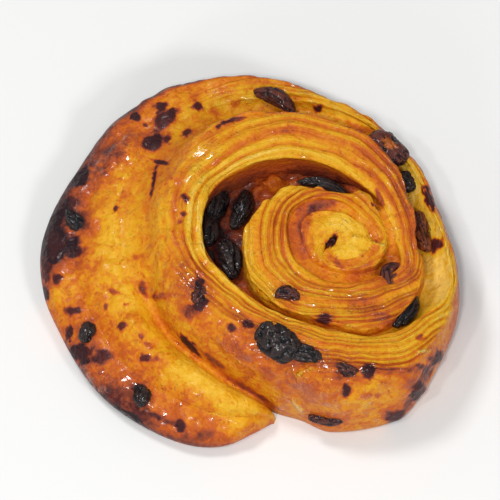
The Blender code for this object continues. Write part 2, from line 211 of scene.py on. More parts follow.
BAKES = rows(
    Bake,
    (-500, 0.28, 0.26, 0.34, 0.50, 0.50), (-405, 0.26, 0.26, 0.34, 0.50, 0.50),
    (-270, 0.28, 0.26, 0.38, 0.56, 0.56), (-180, 0.30, 0.36, 0.58, 0.64, 0.64),
    (-90, 0.36, 0.42, 0.52, 0.58, 0.56), (-45, 0.46, 0.44, 0.44, 0.48, 0.48),
    (0, 0.44, 0.42, 0.42, 0.42, 0.42), (90, 0.50, 0.46, 0.36, 0.40, 0.46),
    (180, 0.60, 0.50, 0.32, 0.30, 0.50), (225, 0.50, 0.42, 0.34, 0.40, 0.50),
    (270, 0.50, 0.40, 0.43, 0.42, 0.46), (315, 0.50, 0.48, 0.48, 0.48, 0.48),
    (360, 0.46, 0.48, 0.54, 0.54, 0.50), (405, 0.42, 0.44, 0.50, 0.54, 0.50),
    (450, 0.34, 0.46, 0.54, 0.48, 0.42), (495, 0.28, 0.42, 0.52, 0.48, 0.40),
    (540, 0.22, 0.32, 0.50, 0.42, 0.36), (585, 0.34, 0.46, 0.58, 0.56, 0.48),
    (630, 0.40, 0.45, 0.58, 0.60, 0.48), (675, 0.34, 0.38, 0.44, 0.54, 0.56),
    (698, 0.20, 0.25, 0.32, 0.64, 0.72), (720, 0.08, 0.14, 0.34, 0.78, 0.84),
    (765, 0.14, 0.22, 0.42, 0.80, 0.84), (810, 0.26, 0.32, 0.46, 0.84, 0.84),
    (832, 0.26, 0.36, 0.50, 1.00, 0.90), (855, 0.36, 0.46, 0.60, 1.10, 1.00),
    (877, 0.38, 0.46, 0.56, 0.80, 1.06), (889, 0.38, 0.44, 0.56, 0.84, 1.00),
    (900, 0.36, 0.42, 0.53, 0.64, 0.82), (909, 0.36, 0.42, 0.48, 0.50, 0.60),
    (920, 0.36, 0.44, 0.51, 0.58, 0.80), (933, 0.34, 0.44, 0.52, 0.62, 0.88),
    (943, 0.32, 0.43, 0.53, 0.62, 0.86), (955, 0.30, 0.40, 0.52, 0.60, 0.80),
    (970, 0.34, 0.38, 0.44, 0.54, 0.64),
)

FILLS = rows(
    Fill,
    (-496, 0.9, 0.9, 1, 0.26, 0.1, 5), (-405, 0.9, 0.9, 1, 0.26, 0.1, 5), (-330, 0.9, 1, 1, 0.30, 0.2, 3),
    (-290, 1, 1.3, 0.8, 0.42, 0.3, 0.3), (-255, 1.4, 1.6, 0.4, 0.66, 0.4, 0),
    (-200, 1.4, 1.6, 0.3, 0.66, 0.4, 0), (-160, 1.4, 1.6, 0.3, 0.60, 0.4, 0),
    (-100, 1.4, 1.6, 0.3, 0.56, 0.4, 0), (-60, 1.4, 1.8, 0.3, 0.54, 0.5, 0),
    (-22, 1.6, 2.2, 0.2, 0.42, 0.5, 0.2), (0, 1, 1.1, 1, 0.42, 0.2, 2), (22, 1, 1.1, 1, 0.46, 0.2, 2),
    (60, 0.4, 1.4, 0, 0.54, 1, 0), (100, 0.6, 2, 0, 0.62, 1.8, 0), (150, 0.6, 0.8, 0, 0.74, 2, 0),
    (200, 0.6, 0.8, 0, 0.70, 1.8, 0), (250, 0.8, 1.4, 0, 0.46, 1, 0), (290, 0.8, 1.8, 0, 0.40, 0.8, 0),
    (320, 1.2, 3.4, 0, 0.24, 0.8, 0), (345, 1, 6.4, 0, 0.08, 0.9, 0), (370, 0.8, 4.8, 0, 0.06, 0.9, 0),
    (410, 0.8, 4, 0, 0.12, 0.6, 0), (440, 0.9, 3.6, 0, 0.16, 0.5, 0), (472, 1.6, 3, 0, 0.26, 0.4, 3),
    (495, 3, 2, 0, 0.34, 0.2, 9), (512, 4, 2, 0, 0.36, 0, 14), (540, 4, 2.2, 0, 0.36, 0, 14),
    (555, 1, 2.4, 0, 0.28, 0, 2.6), (566, 0.8, 2.4, 0, 0.30, 0, 1.1), (590, 0.4, 2.2, 0, 0.32, 0, 1),
    (611, 0, 0.8, 0, 0.36, 0, 1),
)

LINES = rows(
    Line,
    # The crack over the lobe, and the fold below it, whose dark line is painted shade.
    ((156, 163), (177, 159), 0, 0.55), ((155, 165), (152, 196), 0, 0.75), ((144, 296), (152, 312), 0, 0.6),
    ((152, 312), (170, 337), 0, 0.7), ((170, 337), (198, 359), 0, 0.8), ((198, 359), (226, 380), 0, 0.7),
    ((226, 380), (250, 393), 0, 0.6), ((250, 393), (272, 411), 0, 0.6),
    # Thin cracks along the far side of the band.
    ((227, 122), (247, 117), 0, 0.9), ((219, 128), (226, 124), 0, 0.5), ((320, 121), (345, 126), 0, 0.7),
    ((345, 126), (364, 134), 0, 0.7),
    # Flake edges on the skin in front of the band.
    ((291, 366), (300, 376), 0.8), ((300, 372), (318, 366), 0.9), ((297, 384), (305, 372), 0.6),
    ((284, 388), (288, 402), 0.7), ((293, 398), (303, 410), 0.9), ((291, 410), (292, 418), 0.7),
    ((250, 368), (277, 372), 0.6), ((226, 349), (241, 362), 0.8), ((218, 339), (232, 351), 0.6),
    ((241, 318), (247, 330), 0.5), ((418, 352), (428, 350), 0.8), ((330, 402), (352, 399), 0.5),
    ((305, 392), (322, 396), 0, 0.4), ((262, 384), (280, 392), 0, 0.4),
    # The nick and the folds on the right of the boss, whose dark lines are painted shade.
    ((340, 222), (352, 236), 0.5), ((352, 236), (372, 243), 0.7), ((372, 243), (384, 246), 0.8),
    ((374, 238), (377, 243), 0, 0.9), ((350, 214), (368, 230), 0, 0.4), ((360, 214), (374, 228), 0, 0.3),
)

MARKS = rows(
    Mark,
    # The middle of the coil.
    (332, 241, 2.3, 0.9, 58, 0.12, 1, 0.3, -1.4), (326, 243, 1.2, 0.8, 50, 0.30),
    (337, 262, 3.4, 1, -50, 0.30, 0, 0.2), (309, 218, 4.2, 1.2, 62, 0.26, 0, 0.4),
    (325, 205, 4, 1, 12, 0.20, 0, 0.2), (303, 240, 4, 1, 92, 0.14), (350, 222, 6, 4, 0, -0.08, 0, 0.2),
    (352, 252, 5, 4, 0, -0.03), (365, 268, 3.2, 1.2, 20, 0.22, 0, 0.4), (373, 205, 0.8, 0.6, 0, 0, 0.8),
    (325, 318, 2.2, 1.7, 0, 0.25, 0.75, 0.4, 0.6), (289, 303, 2.4, 1.6, 0, 0.20, 0, 0.4),
    (370, 305, 5, 2.2, -12, 0.14, 0, 1), (385, 320, 4, 1.6, -20, 0.12, 0.2, 0.5),
    (352, 300, 9, 1.8, -14, 0.10, 0, 0.2), (410, 268, 1.6, 4, 8, 0.14, 0, 1),
    (400, 285, 1.2, 4, -20, 0.12, 0, 0.3),
    # The pocket's custard.
    (274, 184, 3.6, 2.8, 20, -0.12, 0, 0.3, 3.4), (262, 188, 2, 1.8, 0, -0.10, 0, 0.4, 1.8),
    (255, 196, 1.4, 2.4, 0, -0.08, 0, 0.4, 1.6), (236, 233, 2.4, 1.4, 0, -0.06, 0, 0.3, 1),
    (285, 176, 3, 1.4, -10, 0.10, 0, 0.2, 0.6), (361, 196, 4, 2.2, -40, 0.06, 0, 0.6, 1.6),
    (350, 188, 2.4, 1.4, -30, 0, 0.2, 0.4, 1.4),
    # The band round the pocket.
    (400, 190, 2, 7, 25, 0.10, 0, 1), (375, 178, 1.6, 7, 38, 0.10, 0, 0.1),
    (380, 198, 0.8, 3, 28, 0.10, 0.5, 0.1), (340, 148, 8, 1.6, -16, 0.08),
    (360, 128, 7, 1, -20, 0.18, 0.25), (318, 108, 1.5, 1.1, 0, 0.1, 1, 0.4, 0.3),
    (228, 121, 3.4, 0.6, 22, 0.2, 0.7), (218, 127, 0.7, 0.6, 0, 0.1, 0.6), (212, 140, 2, 1, 40, 0.22),
    (262, 133, 12, 1.6, 14, 0.14), (300, 131, 8, 1.4, -4, 0.16), (207, 152, 2.4, 3, -30, -0.05, 0, 1),
    (197, 170, 1.8, 4, 10, -0.08, 0, 1), (192, 205, 1.6, 8, 4, -0.12, 0, 0.5),
    (198, 250, 1.6, 6, -24, -0.12, 0, 0.5), (185, 198, 1.3, 1.2, 0, 0.15, 0.8, 0.1, 0.2),
    (184, 214, 1, 0.8, 0, 0.12, 0.6), (180, 222, 0.7, 0.6, 0, 0.10, 0.4),
    (186, 282, 3.2, 5.4, -8, 0.20, 0, 1, 0.4), (199, 284, 1.2, 1.8, 0, 0.20, 0.9, 0.2, 0.4),
    (200, 305, 2.2, 1.5, 40, 0.20, 0.8, 0.3, 0.5), (189, 314, 2, 2, 0, 0.20, 0.2),
    (231, 328, 1.2, 1.2, 0, 0.10, 0.8, 0.2, 0.4), (248, 324, 1.6, 1.2, 0, 0.12, 0.75, 0.3, 0.4),
    (240, 318, 3, 1.6, -40, 0.04, 0, 1), (232, 348, 4.4, 1.6, -38, 0.08, 0, 1, 0.3),
    (246, 358, 2.6, 1.2, -60, 0.04, 0, 1), (190, 345, 3.6, 1.1, -44, 0.2, 1, 0.1, 0.2),
    (215, 362, 4, 0.9, -38, 0.22, 0.3), (238, 384, 5, 0.8, -30, 0.16, 0.2),
    (262, 398, 6, 0.7, -32, 0.14, 0.2),
    # The skin in front of the band.
    (300, 378, 4.6, 3.4, 0, 0.03, 0, 0.8, 0.8), (325, 388, 6.4, 4.4, 0, 0.06, 0, 0.5, 1),
    (268, 372, 5, 3, -20, 0.04, 0, 0.5, 0.6), (282, 400, 3.6, 3.4, 0, 0.06, 0, 0.5, 0.5),
    (352, 402, 7, 3.4, 10, -0.14, 0, 0.2, 0.4), (370, 388, 6, 2.6, 10, -0.10, 0, 0.3, 0.3),
    (310, 368, 4.4, 1.4, 20, 0.02, 0, 1, 0.3), (292, 372, 1.4, 3.4, -20, 0.02, 0, 1, 0.3),
    (298, 403, 1.4, 2.2, 40, 0.04, 0, 1, 0.3), (262, 352, 2.4, 1.2, -30, 0.04, 0, 1, 0.2),
    (228, 336, 3.4, 1.4, -50, 0.04, 0, 1, 0.2), (255, 382, 2.6, 1, -30, 0.04, 0, 1, 0.2),
    (330, 404, 3, 1, -10, 0.02, 0, 0.9, 0.2), (379, 384, 2.2, 0.8, 0, 0.02, 0, 0.9, 0.2),
    (413, 382, 2.6, 3.6, -40, 0.16, 0, 0.2, 0.3), (368, 372, 2.2, 1.8, 20, 0.15, 0.85, 0.3, 0.4),
    (346, 389, 1.2, 1.5, 0, 0.10, 0.9, 0.4, 0.3), (390, 370, 8, 1, -2, 0.16, 0.2),
    (366, 395, 1.8, 1, 10, 0.08, 0.2, 0.8), (378, 394, 1, 1, 0, 0.10, 0.3, 0.5),
    (395, 416, 2.8, 1.8, 10, 0.25, 0.7, 0.2, 0.4), (416, 396, 1.6, 1.8, 40, 0.22, 0.6, 0.4, 0.3),
    (436, 357, 1.6, 2.4, -30, 0.25, 0.7, 0.1, 0.9), (428, 372, 1.6, 2, -30, 0.20, 0.4, 0.1, -0.5),
    (420, 388, 1.8, 2, -40, 0.20, 0.3, 0.1, 0.8), (410, 404, 1.4, 1.6, -40, 0.12, 0.2, 0.1, -0.5),
    (421, 366, 1.4, 0.8, 0, 0.14, 0.5), (420, 338, 1.4, 0.9, 20, 0.16, 0.5),
    (422, 352, 1.8, 0.5, 10, -0.1, 0, 1),
    # The outer turn at the right and the top.
    (428, 198, 1.2, 4.2, 20, 0.25, 0.9), (436, 244, 2, 2.3, 0, 0.22, 0.85, 0.3),
    (398, 145, 1, 4, 40, 0.15, 0.2), (230, 93, 4.4, 1.6, 0, 0.20, 0, 0.2, 0.3),
    (236, 103, 1.4, 1.4, 0, 0.18, 0.2, 0.1), (215, 112, 2, 1.6, -30, 0.22, 0.1, 0.1, 0.2),
    (197, 106, 1.4, 1.6, 60, 0.2, 0.8, 0.4, 0.3), (195, 96, 1.8, 1.2, 0, 0.18),
    (187, 133, 1.1, 1.5, -30, 0.1, 0.8, 0.2, 0.2), (247, 100, 3.4, 1.6, 20, -0.10, 0, 0.8),
    (160, 107, 1.6, 1.8, 40, 0.15, 0.9, 0.1, 0.2), (166, 120, 3.4, 2.6, 30, 0.25, 0.7, 0.5, 0.8),
    (171, 114, 1.2, 1.6, 0, 0.1, 0.9, 0, 0.2), (153, 142, 2.4, 2.2, -20, 0.25, 0.8, 0.2, 0.5),
    (167, 138, 1, 1.6, 0, 0.2, 0.6), (159, 133, 3, 4, 0, 0.16, 0, 0.4),
    (136, 117, 1.4, 1, -20, 0.1, 1, 0, 0.2), (145, 125, 0.8, 0.7, 0, 0.1, 0.6),
    (119, 155, 7.6, 3.4, 40, 0.26, 0, 0.9, 1.7), (128, 150, 3, 3.4, 0, 0.06, 0, 1),
    (99, 166, 1.4, 1.4, 0, 0, 0, 1), (105, 180, 6, 3, 20, 0.12, 0, 0.3, 0.4),
    (80, 178, 1.6, 3.6, -40, 0.25, 0.8), (116, 209, 0.8, 1, 0, 0.1, 0.8), (122, 196, 3, 1, 50, 0.14, 0.1),
    # The crack and the fold where the band's skin meets the lobe.
    (161, 162, 2.6, 0.6, -12, 0.12, 0.9, 0, -0.2), (153, 180, 0.5, 5, -10, 0.14, 0.9, 0, -0.5),
    (160, 172, 2, 5, -14, 0.14), (148, 225, 1.2, 9, 0, 0.06, 0, 0, -0.4),
    (143, 289, 1.1, 2.4, 24, 0.26, 0.3, 0, 1), (160, 296, 2.4, 1.1, 4, 0.30, 0.30, 0, 0.9),
    (137, 257, 1.6, 1, 10, 0.20, 0.1),
    # The broad lobe.
    (122, 235, 8, 9, 0, -0.03), (110, 262, 7, 5, 0, -0.06), (54, 242, 5, 5, -10, 0.26, 1, 0.2),
    (70, 249, 3.6, 1.6, -10, 0.24, 0.5, 0.3), (85, 262, 6, 3, -30, 0.16, 0, 0.2),
    (53, 221, 1.8, 3.6, -30, 0.26, 0.9), (78, 215, 6, 3.4, -38, 0.22, 0, 0.2),
    (58, 278, 1.7, 1.6, -40, 0.16, 0.6, 0.2, 0.3), (45, 294, 0.9, 1.6, 20, 0.2, 0.9),
    (47, 270, 1.4, 5, 0, 0.2, 0.2), (73, 311, 1.9, 1.4, 0, 0.14, 0.75, 0.2, 0.2),
    (112, 291, 2.2, 0.8, -20, 0.16, 0.3), (124, 282, 2.4, 0.8, 0, 0.14), (126, 304, 0.8, 0.5, 0, 0.1, 0.5),
    (106, 307, 0.7, 1, 0, 0.1, 0.5), (129, 315, 2.2, 1.2, -10, 0.16, 0.1),
    (123, 326, 1.7, 1.6, 0, 0.16, 0.7, 0.2, 0.4), (141, 337, 0.8, 0.7, 0, 0.1, 0.4),
    (145, 357, 1.4, 1.2, 0, 0.18, 0.6, 0.1, 0.3), (155, 359, 1, 1, 0, 0.14, 0.2),
    (136, 387, 1.5, 0.8, 0, 0.16, 0.4, 0.2), (149, 345, 2, 0.9, -30, 0.12, 0.2),
    (69, 333, 1, 2.2, 0, 0.1, 1), (82, 353, 3, 2.6, 0, 0.16, 1, 0.1),
    (104, 356, 3, 2.2, 0, 0.24, 0.5, 0.1, 0.3), (65, 346, 1.2, 2.4, 0, 0.2, 0.8),
    (100, 330, 7, 5, -30, 0.06), (95, 300, 6, 5, 0, 0.07), (110, 383, 5, 2.6, -10, 0.04, 0, 1, 0.5),
    (128, 381, 3.4, 2.4, 0, 0.06, 0, 1, 0.4), (95, 372, 3.4, 2.6, -40, 0.08, 0, 0.9),
    (118, 398, 8, 2.4, -36, 0.18, 0, 0.2), (127, 416, 3.6, 1, -26, 0.2, 0.9, 0.9),
    (142, 386, 5, 5, 0, 0.06, 0, 0.3), (165, 420, 6, 0.8, -24, 0.20, 0.2),
    (181, 425, 1.6, 1.4, 0, 0.18, 0.7, 0, 0.2), (204, 434, 4, 1.2, 0, 0.16), (190, 398, 6, 4, -30, 0.08),
    (213, 388, 10, 3.4, -34, -0.12), (240, 420, 5, 5, 0, -0.12), (170, 368, 8, 2.4, -45, 0.05),
)

PITCHES = rows(
    Pitch,
    (-500, 1.9), (60, 2), (200, 2), (270, 1.5), (340, 1.7), (400, 2.8), (440, 3.8), (510, 3.6), (560, 2.2),
    (600, 1.4), (680, 1.5), (970, 1.9),
)


def monotone(angles: np.ndarray, values: np.ndarray, wanted: np.ndarray) -> np.ndarray:
    """Reads a smooth curve through points, which never overshoots them.

    Args:
        angles: the points' angles, rising.
        values: the points' values.
        wanted: the angles to read at.

    Returns:
        The curve's values there.
    """
    steps = np.diff(angles)
    slopes = np.diff(values) / steps
    tangents = np.zeros(len(values))
    same_way = slopes[:-1] * slopes[1:] > 0
    first, second = 2 * steps[1:] + steps[:-1], steps[1:] + 2 * steps[:-1]
    with np.errstate(divide="ignore", invalid="ignore"):
        mean = (first + second) / (first / slopes[:-1] + second / slopes[1:])
    tangents[1:-1] = np.where(same_way, mean, 0.0)
    tangents[0], tangents[-1] = slopes[0], slopes[-1]
    wanted = np.clip(wanted, angles[0], angles[-1])
    k = np.clip(np.searchsorted(angles, wanted) - 1, 0, len(steps) - 1)
    t = (wanted - angles[k]) / steps[k]
    return (
        values[k] * (1 + 2 * t) * (1 - t) ** 2
        + tangents[k] * steps[k] * t * (1 - t) ** 2
        + values[k + 1] * t * t * (3 - 2 * t)
        + tangents[k + 1] * steps[k] * t * t * (t - 1)
    )


def read(table: tuple[NamedTuple, ...], angles: np.ndarray) -> list[np.ndarray]:
    """Reads every column but the angle of a table of measures.

    Args:
        table: rows that each begin with an angle.
        angles: the angles to read at.

    Returns:
        One array a column, with one row a section.
    """
    columns = np.array(table, float).T
    return [monotone(columns[0], column, angles)[:, None] for column in columns[1:]]


def eased(share: np.ndarray) -> np.ndarray:
    """0 to 1 with flat ends."""
    share = np.clip(share, 0.0, 1.0)
    return share * share * (3 - 2 * share)


def arc_lengths(angles: np.ndarray, radii: np.ndarray) -> np.ndarray:
    """Millimetres along a curve round the pole, from its first angle."""
    return np.concatenate(([0.0], np.cumsum(np.diff(np.radians(angles)) * radii[1:])))


def evenly(angles: np.ndarray, radii: np.ndarray, count: int) -> np.ndarray:
    """Spaces angles evenly along a curve round the pole.

    Args:
        angles: close angles along the curve.
        radii: its radii there.
        count: how many angles to return.

    Returns:
        The angles.
    """
    arc = arc_lengths(angles, radii)
    return np.interp(np.linspace(0, arc[-1], count), arc, angles)


def evened(values: np.ndarray, window: int) -> np.ndarray:
    """The moving average down each column, over an odd number of rows."""
    padded = np.pad(values, ((window // 2,) * 2, (0, 0)), "edge")
    kernel = np.ones(window) / window
    return np.stack([np.convolve(column, kernel, "valid") for column in padded.T], axis=-1)


def stacked(*coordinates: np.ndarray) -> np.ndarray:
    """Points from their coordinates, which are first brought to one shape."""
    return np.stack(np.broadcast_arrays(*coordinates), axis=-1)


@dataclass(frozen=True)
class Grain:
    """A smooth random field in space, the same on every run."""

    seed: int
    size: float = 1.0  # of one lump, in the places' own units
    amount: float = 1.0
    side: int = 32

    def at(self, points: np.ndarray) -> np.ndarray:
        """Reads the field.

        Args:
            points: places, with their coordinates on the last axis.

        Returns:
            Values from about minus the amount to the amount, one a place.
        """
        lattice = np.random.default_rng(self.seed).uniform(-1, 1, (self.side,) * 3)
        cell = points / self.size
        low = np.floor(cell).astype(int)
        share = eased(cell - low)
        total = np.zeros(points.shape[:-1])
        for corner in np.ndindex(2, 2, 2):
            index = (low + corner) % self.side
            weight = np.prod(np.where(corner, share, 1 - share), axis=-1)
            total += weight * lattice[index[..., 0], index[..., 1], index[..., 2]]
        return self.amount * total


@dataclass(frozen=True)
class Shot:
    """The photograph's camera: it looks along +Y and down, from so far away that it hardly tapers."""

    elevation: float = 65.0
    distance: float = 2500.0
    pixels: float = 500.0
    scale: float = 3.63  # pixels to a millimetre at the pole
    pole_pixel: tuple[float, float] = (332.0, 240.0)
    pole_height: float = 26.0
    sensor: float = 36.0
    clip: tuple[float, float] = (0.1, 20.0)  # metres

    def axes(self) -> tuple[np.ndarray, np.ndarray, np.ndarray]:
        """The picture's right, its up and the way back to the camera."""
        tilt = math.radians(self.elevation)
        up = np.array((0.0, math.sin(tilt), math.cos(tilt)))
        back = np.array((0.0, -math.cos(tilt), math.sin(tilt)))
        return np.array((1.0, 0.0, 0.0)), up, back

    def aim(self) -> np.ndarray:
        """The point in millimetres that the middle of the picture looks at."""
        right, up, _ = self.axes()
        pole = np.array((POLE.x, POLE.y, self.pole_height))
        across = (self.pixels / 2 - self.pole_pixel[0]) / self.scale
        rise = (self.pole_pixel[1] - self.pixels / 2) / self.scale
        return pole + across * right + rise * up

    def seen(self, points: np.ndarray) -> tuple[np.ndarray, np.ndarray]:
        """Finds where points in millimetres show in the picture.

        Args:
            points: places, with x, y and z on the last axis.

        Returns:
            Pixels from the left and pixels from the top.
        """
        right, up, back = self.axes()
        away = points - self.aim()
        shrink = self.scale * self.distance / (self.distance - away @ back)
        return self.pixels / 2 + (away @ right) * shrink, self.pixels / 2 - (away @ up) * shrink

    def ray(self, across: float, down: float) -> tuple[np.ndarray, np.ndarray]:
        """The camera's place in millimetres and the direction in which it sees a pixel.

        Args:
            across: the pixel's column.
            down: its row.

        Returns:
            The place and the direction, of length 1.
        """
        right, up, back = self.axes()
        eye = self.aim() + self.distance * back
        target = self.aim() + (across - self.pixels / 2) / self.scale * right
        target = target + (self.pixels / 2 - down) / self.scale * up
        return eye, (target - eye) / np.linalg.norm(target - eye)

    def make(self) -> None:
        """Puts the camera in the scene."""
        _, _, back = self.axes()
        data = bpy.data.cameras.new("camera")
        data.sensor_width = self.sensor
        data.lens = self.sensor * self.distance * self.scale / self.pixels
        data.clip_start, data.clip_end = self.clip
        camera = bpy.data.objects.new("camera", data)
        camera.location = Vector(self.aim() + self.distance * back) * MM
        camera.rotation_mode = "QUATERNION"
        camera.rotation_quaternion = Vector(-back).to_track_quat("-Z", "Y")
        bpy.context.scene.collection.objects.link(camera)
        bpy.context.scene.camera = camera


class Speckle(NamedTuple):
    """A material's noise about 0."""

    scale: float  # lumps to a unit
    detail: float = 2.0  # octaves
    twist: float = 0.0  # how much it is distorted
    amount: float = 1.0


class Blotch(NamedTuple):
    """A material's noise made into blotches with soft edges, 0 between them."""

    scale: float
    detail: float
    twist: float
    amount: float  # the value in a blotch
    edge: Band  # the noise's values from which a blotch begins and is full


class Value:
    """A value in a material's nodes. Sums of values add nodes."""

    def __init__(self, graph: Graph, socket: Socket) -> None:
        """Keeps the socket and the nodes that it belongs to."""
        self.graph = graph
        self.socket = socket

    def __add__(self, other: Value | float) -> Value:
        """The sum of both."""
        return self.graph.math("ADD", self, other)

    def __sub__(self, other: Value | float) -> Value:
        """This less the other."""
        return self.graph.math("SUBTRACT", self, other)

    def __rsub__(self, other: float) -> Value:
        """A number less this."""
        return self.graph.math("SUBTRACT", other, self)

    def __mul__(self, other: Value | float) -> Value:
        """The product of both."""
        return self.graph.math("MULTIPLY", self, other)


class Graph:
    """The nodes of one material."""

    def __init__(self, name: str) -> None:
        """Makes an empty material with its shader.

        Args:
            name: the material's name.
        """
        self.material = bpy.data.materials.new(name)
        self.material.use_nodes = True
        self.nodes = self.material.node_tree.nodes
        self.links = self.material.node_tree.links
        self.shader = self.nodes["Principled BSDF"]

    def put(self, socket: Socket, value: Value | float | tuple) -> None:
        """Sets a socket, or links a value to it.

        Args:
            socket: the input.
            value: a plain value, or one of this graph's.
        """
        if isinstance(value, Value):
            self.links.new(value.socket, socket)
        else:
            socket.default_value = value

    def finish(self, values: dict[str, Value | float | tuple]) -> bpy.types.Material:
        """Sets or links the shader's own sockets, by name, and returns the material."""
        for name, value in values.items():
            self.put(self.shader.inputs[name], value)
        return self.material

    def math(self, kind: str, *values: Value | float) -> Value:
        """One sum of one to three values, of the Math node's kind.

        Args:
            kind: the node's operation.
            values: what goes into it.

        Returns:
            What comes out.
        """
        node = self.nodes.new("ShaderNodeMath")
        node.operation = kind
        for socket, value in zip(node.inputs, values):
            self.put(socket, value)
        return Value(self, node.outputs[0])

    def attribute(self, name: str) -> Value:
        """A value that the mesh carries."""
        node = self.nodes.new("ShaderNodeAttribute")
        node.attribute_name = name
        return Value(self, node.outputs["Fac"])

    def place(self) -> Value:
        """The place on the piece, in metres."""
        return Value(self, self.nodes.new("ShaderNodeTexCoord").outputs["Object"])

    def cut_place(self, ply: Value, scales: tuple[float, float]) -> Value:
        """A place by the layer and the length along the strip, each with a scale of its own.

        Args:
            ply: layers counted from the inner rim.
            scales: of the layers and of the length.

        Returns:
            The place.
        """
        node = self.nodes.new("ShaderNodeCombineXYZ")
        self.put(node.inputs[0], ply * scales[0])
        self.put(node.inputs[1], self.attribute("along") * scales[1])
        return Value(self, node.outputs[0])

    def lumps(self, place: Value, speckle: Speckle) -> Value:
        """A speckle's noise, roughly from minus half its amount to half its amount.

        Args:
            place: where it is read.
            speckle: its scale, detail, twist and amount.

        Returns:
            The noise.
        """
        node = self.nodes.new("ShaderNodeTexNoise")
        self.put(node.inputs["Vector"], place)
        node.inputs["Scale"].default_value = speckle.scale
        node.inputs["Detail"].default_value = speckle.detail
        node.inputs["Distortion"].default_value = speckle.twist
        return (Value(self, node.outputs["Fac"]) - 0.5) * speckle.amount

    def blotches(self, place: Value, blotch: Blotch) -> Value:
        """Smooth-edged blotches, 0 between them."""
        found = self.lumps(place, Speckle(blotch.scale, blotch.detail, blotch.twist))
        return self.step(found, blotch.edge) * blotch.amount

    def step(self, value: Value, band: Band) -> Value:
        """Rises smoothly from 0 where the band begins to 1 where it ends.

        Args:
            value: what rises.
            band: where it begins and ends.

        Returns:
            The step.
        """
        node = self.nodes.new("ShaderNodeMapRange")
        node.interpolation_type = "SMOOTHSTEP"
        self.put(node.inputs["Value"], value)
        node.inputs["From Min"].default_value, node.inputs["From Max"].default_value = band
        return Value(self, node.outputs["Result"])

    def ramp(self, value: Value, stops: tuple[tuple[float, tuple], ...]) -> Value:
        """A colour for each value.

        Args:
            value: from 0 to 1.
            stops: pairs of a value and a linear colour, rising.

        Returns:
            The colour.
        """
        node = self.nodes.new("ShaderNodeValToRGB")
        ramp = node.color_ramp
        for _ in range(len(stops) - 2):
            ramp.elements.new(0.5)
        for element, (position, colour) in zip(ramp.elements, stops):
            element.position = position
            element.color = (*colour, 1.0)
        self.put(node.inputs[0], value)
        return Value(self, node.outputs[0])

    def mix(self, share: Value, first: Value, second: tuple) -> Value:
        """Mixes a colour with a plain one.

        Args:
            share: how much of the plain one there is.
            first: the colour.
            second: the plain one.

        Returns:
            The mixed colour.
        """
        node = self.nodes.new("ShaderNodeMix")
        node.data_type = "RGBA"
        self.put(node.inputs["Factor"], share)
        self.put(node.inputs[6], first)
        self.put(node.inputs[7], (*second, 1.0))
        return Value(self, node.outputs[2])

    def bump(self, height: Value, size: tuple[float, float], below: Value | None = None) -> Value:
        """Fine relief.

        Args:
            height: its height field.
            size: metres that a height of 1 stands for, and its strength from 0 to 1.
            below: coarser relief under it.

        Returns:
            The normal.
        """
        node = self.nodes.new("ShaderNodeBump")
        node.inputs["Distance"].default_value, node.inputs["Strength"].default_value = size
        self.put(node.inputs["Height"], height)
        if below is not None:
            self.put(node.inputs["Normal"], below)
        return Value(self, node.outputs[0])


CRUST_COLOURS = (
    (0.00, (0.86, 0.56, 0.11)),
    (0.16, (0.80, 0.45, 0.028)),
    (0.32, (0.73, 0.34, 0.010)),
    (0.46, (0.67, 0.215, 0.008)),
    (0.60, (0.56, 0.118, 0.010)),
    (0.70, (0.42, 0.078, 0.019)),
    (0.79, (0.235, 0.049, 0.021)),
    (0.88, (0.105, 0.020, 0.017)),
    (1.00, (0.024, 0.009, 0.012)),
)


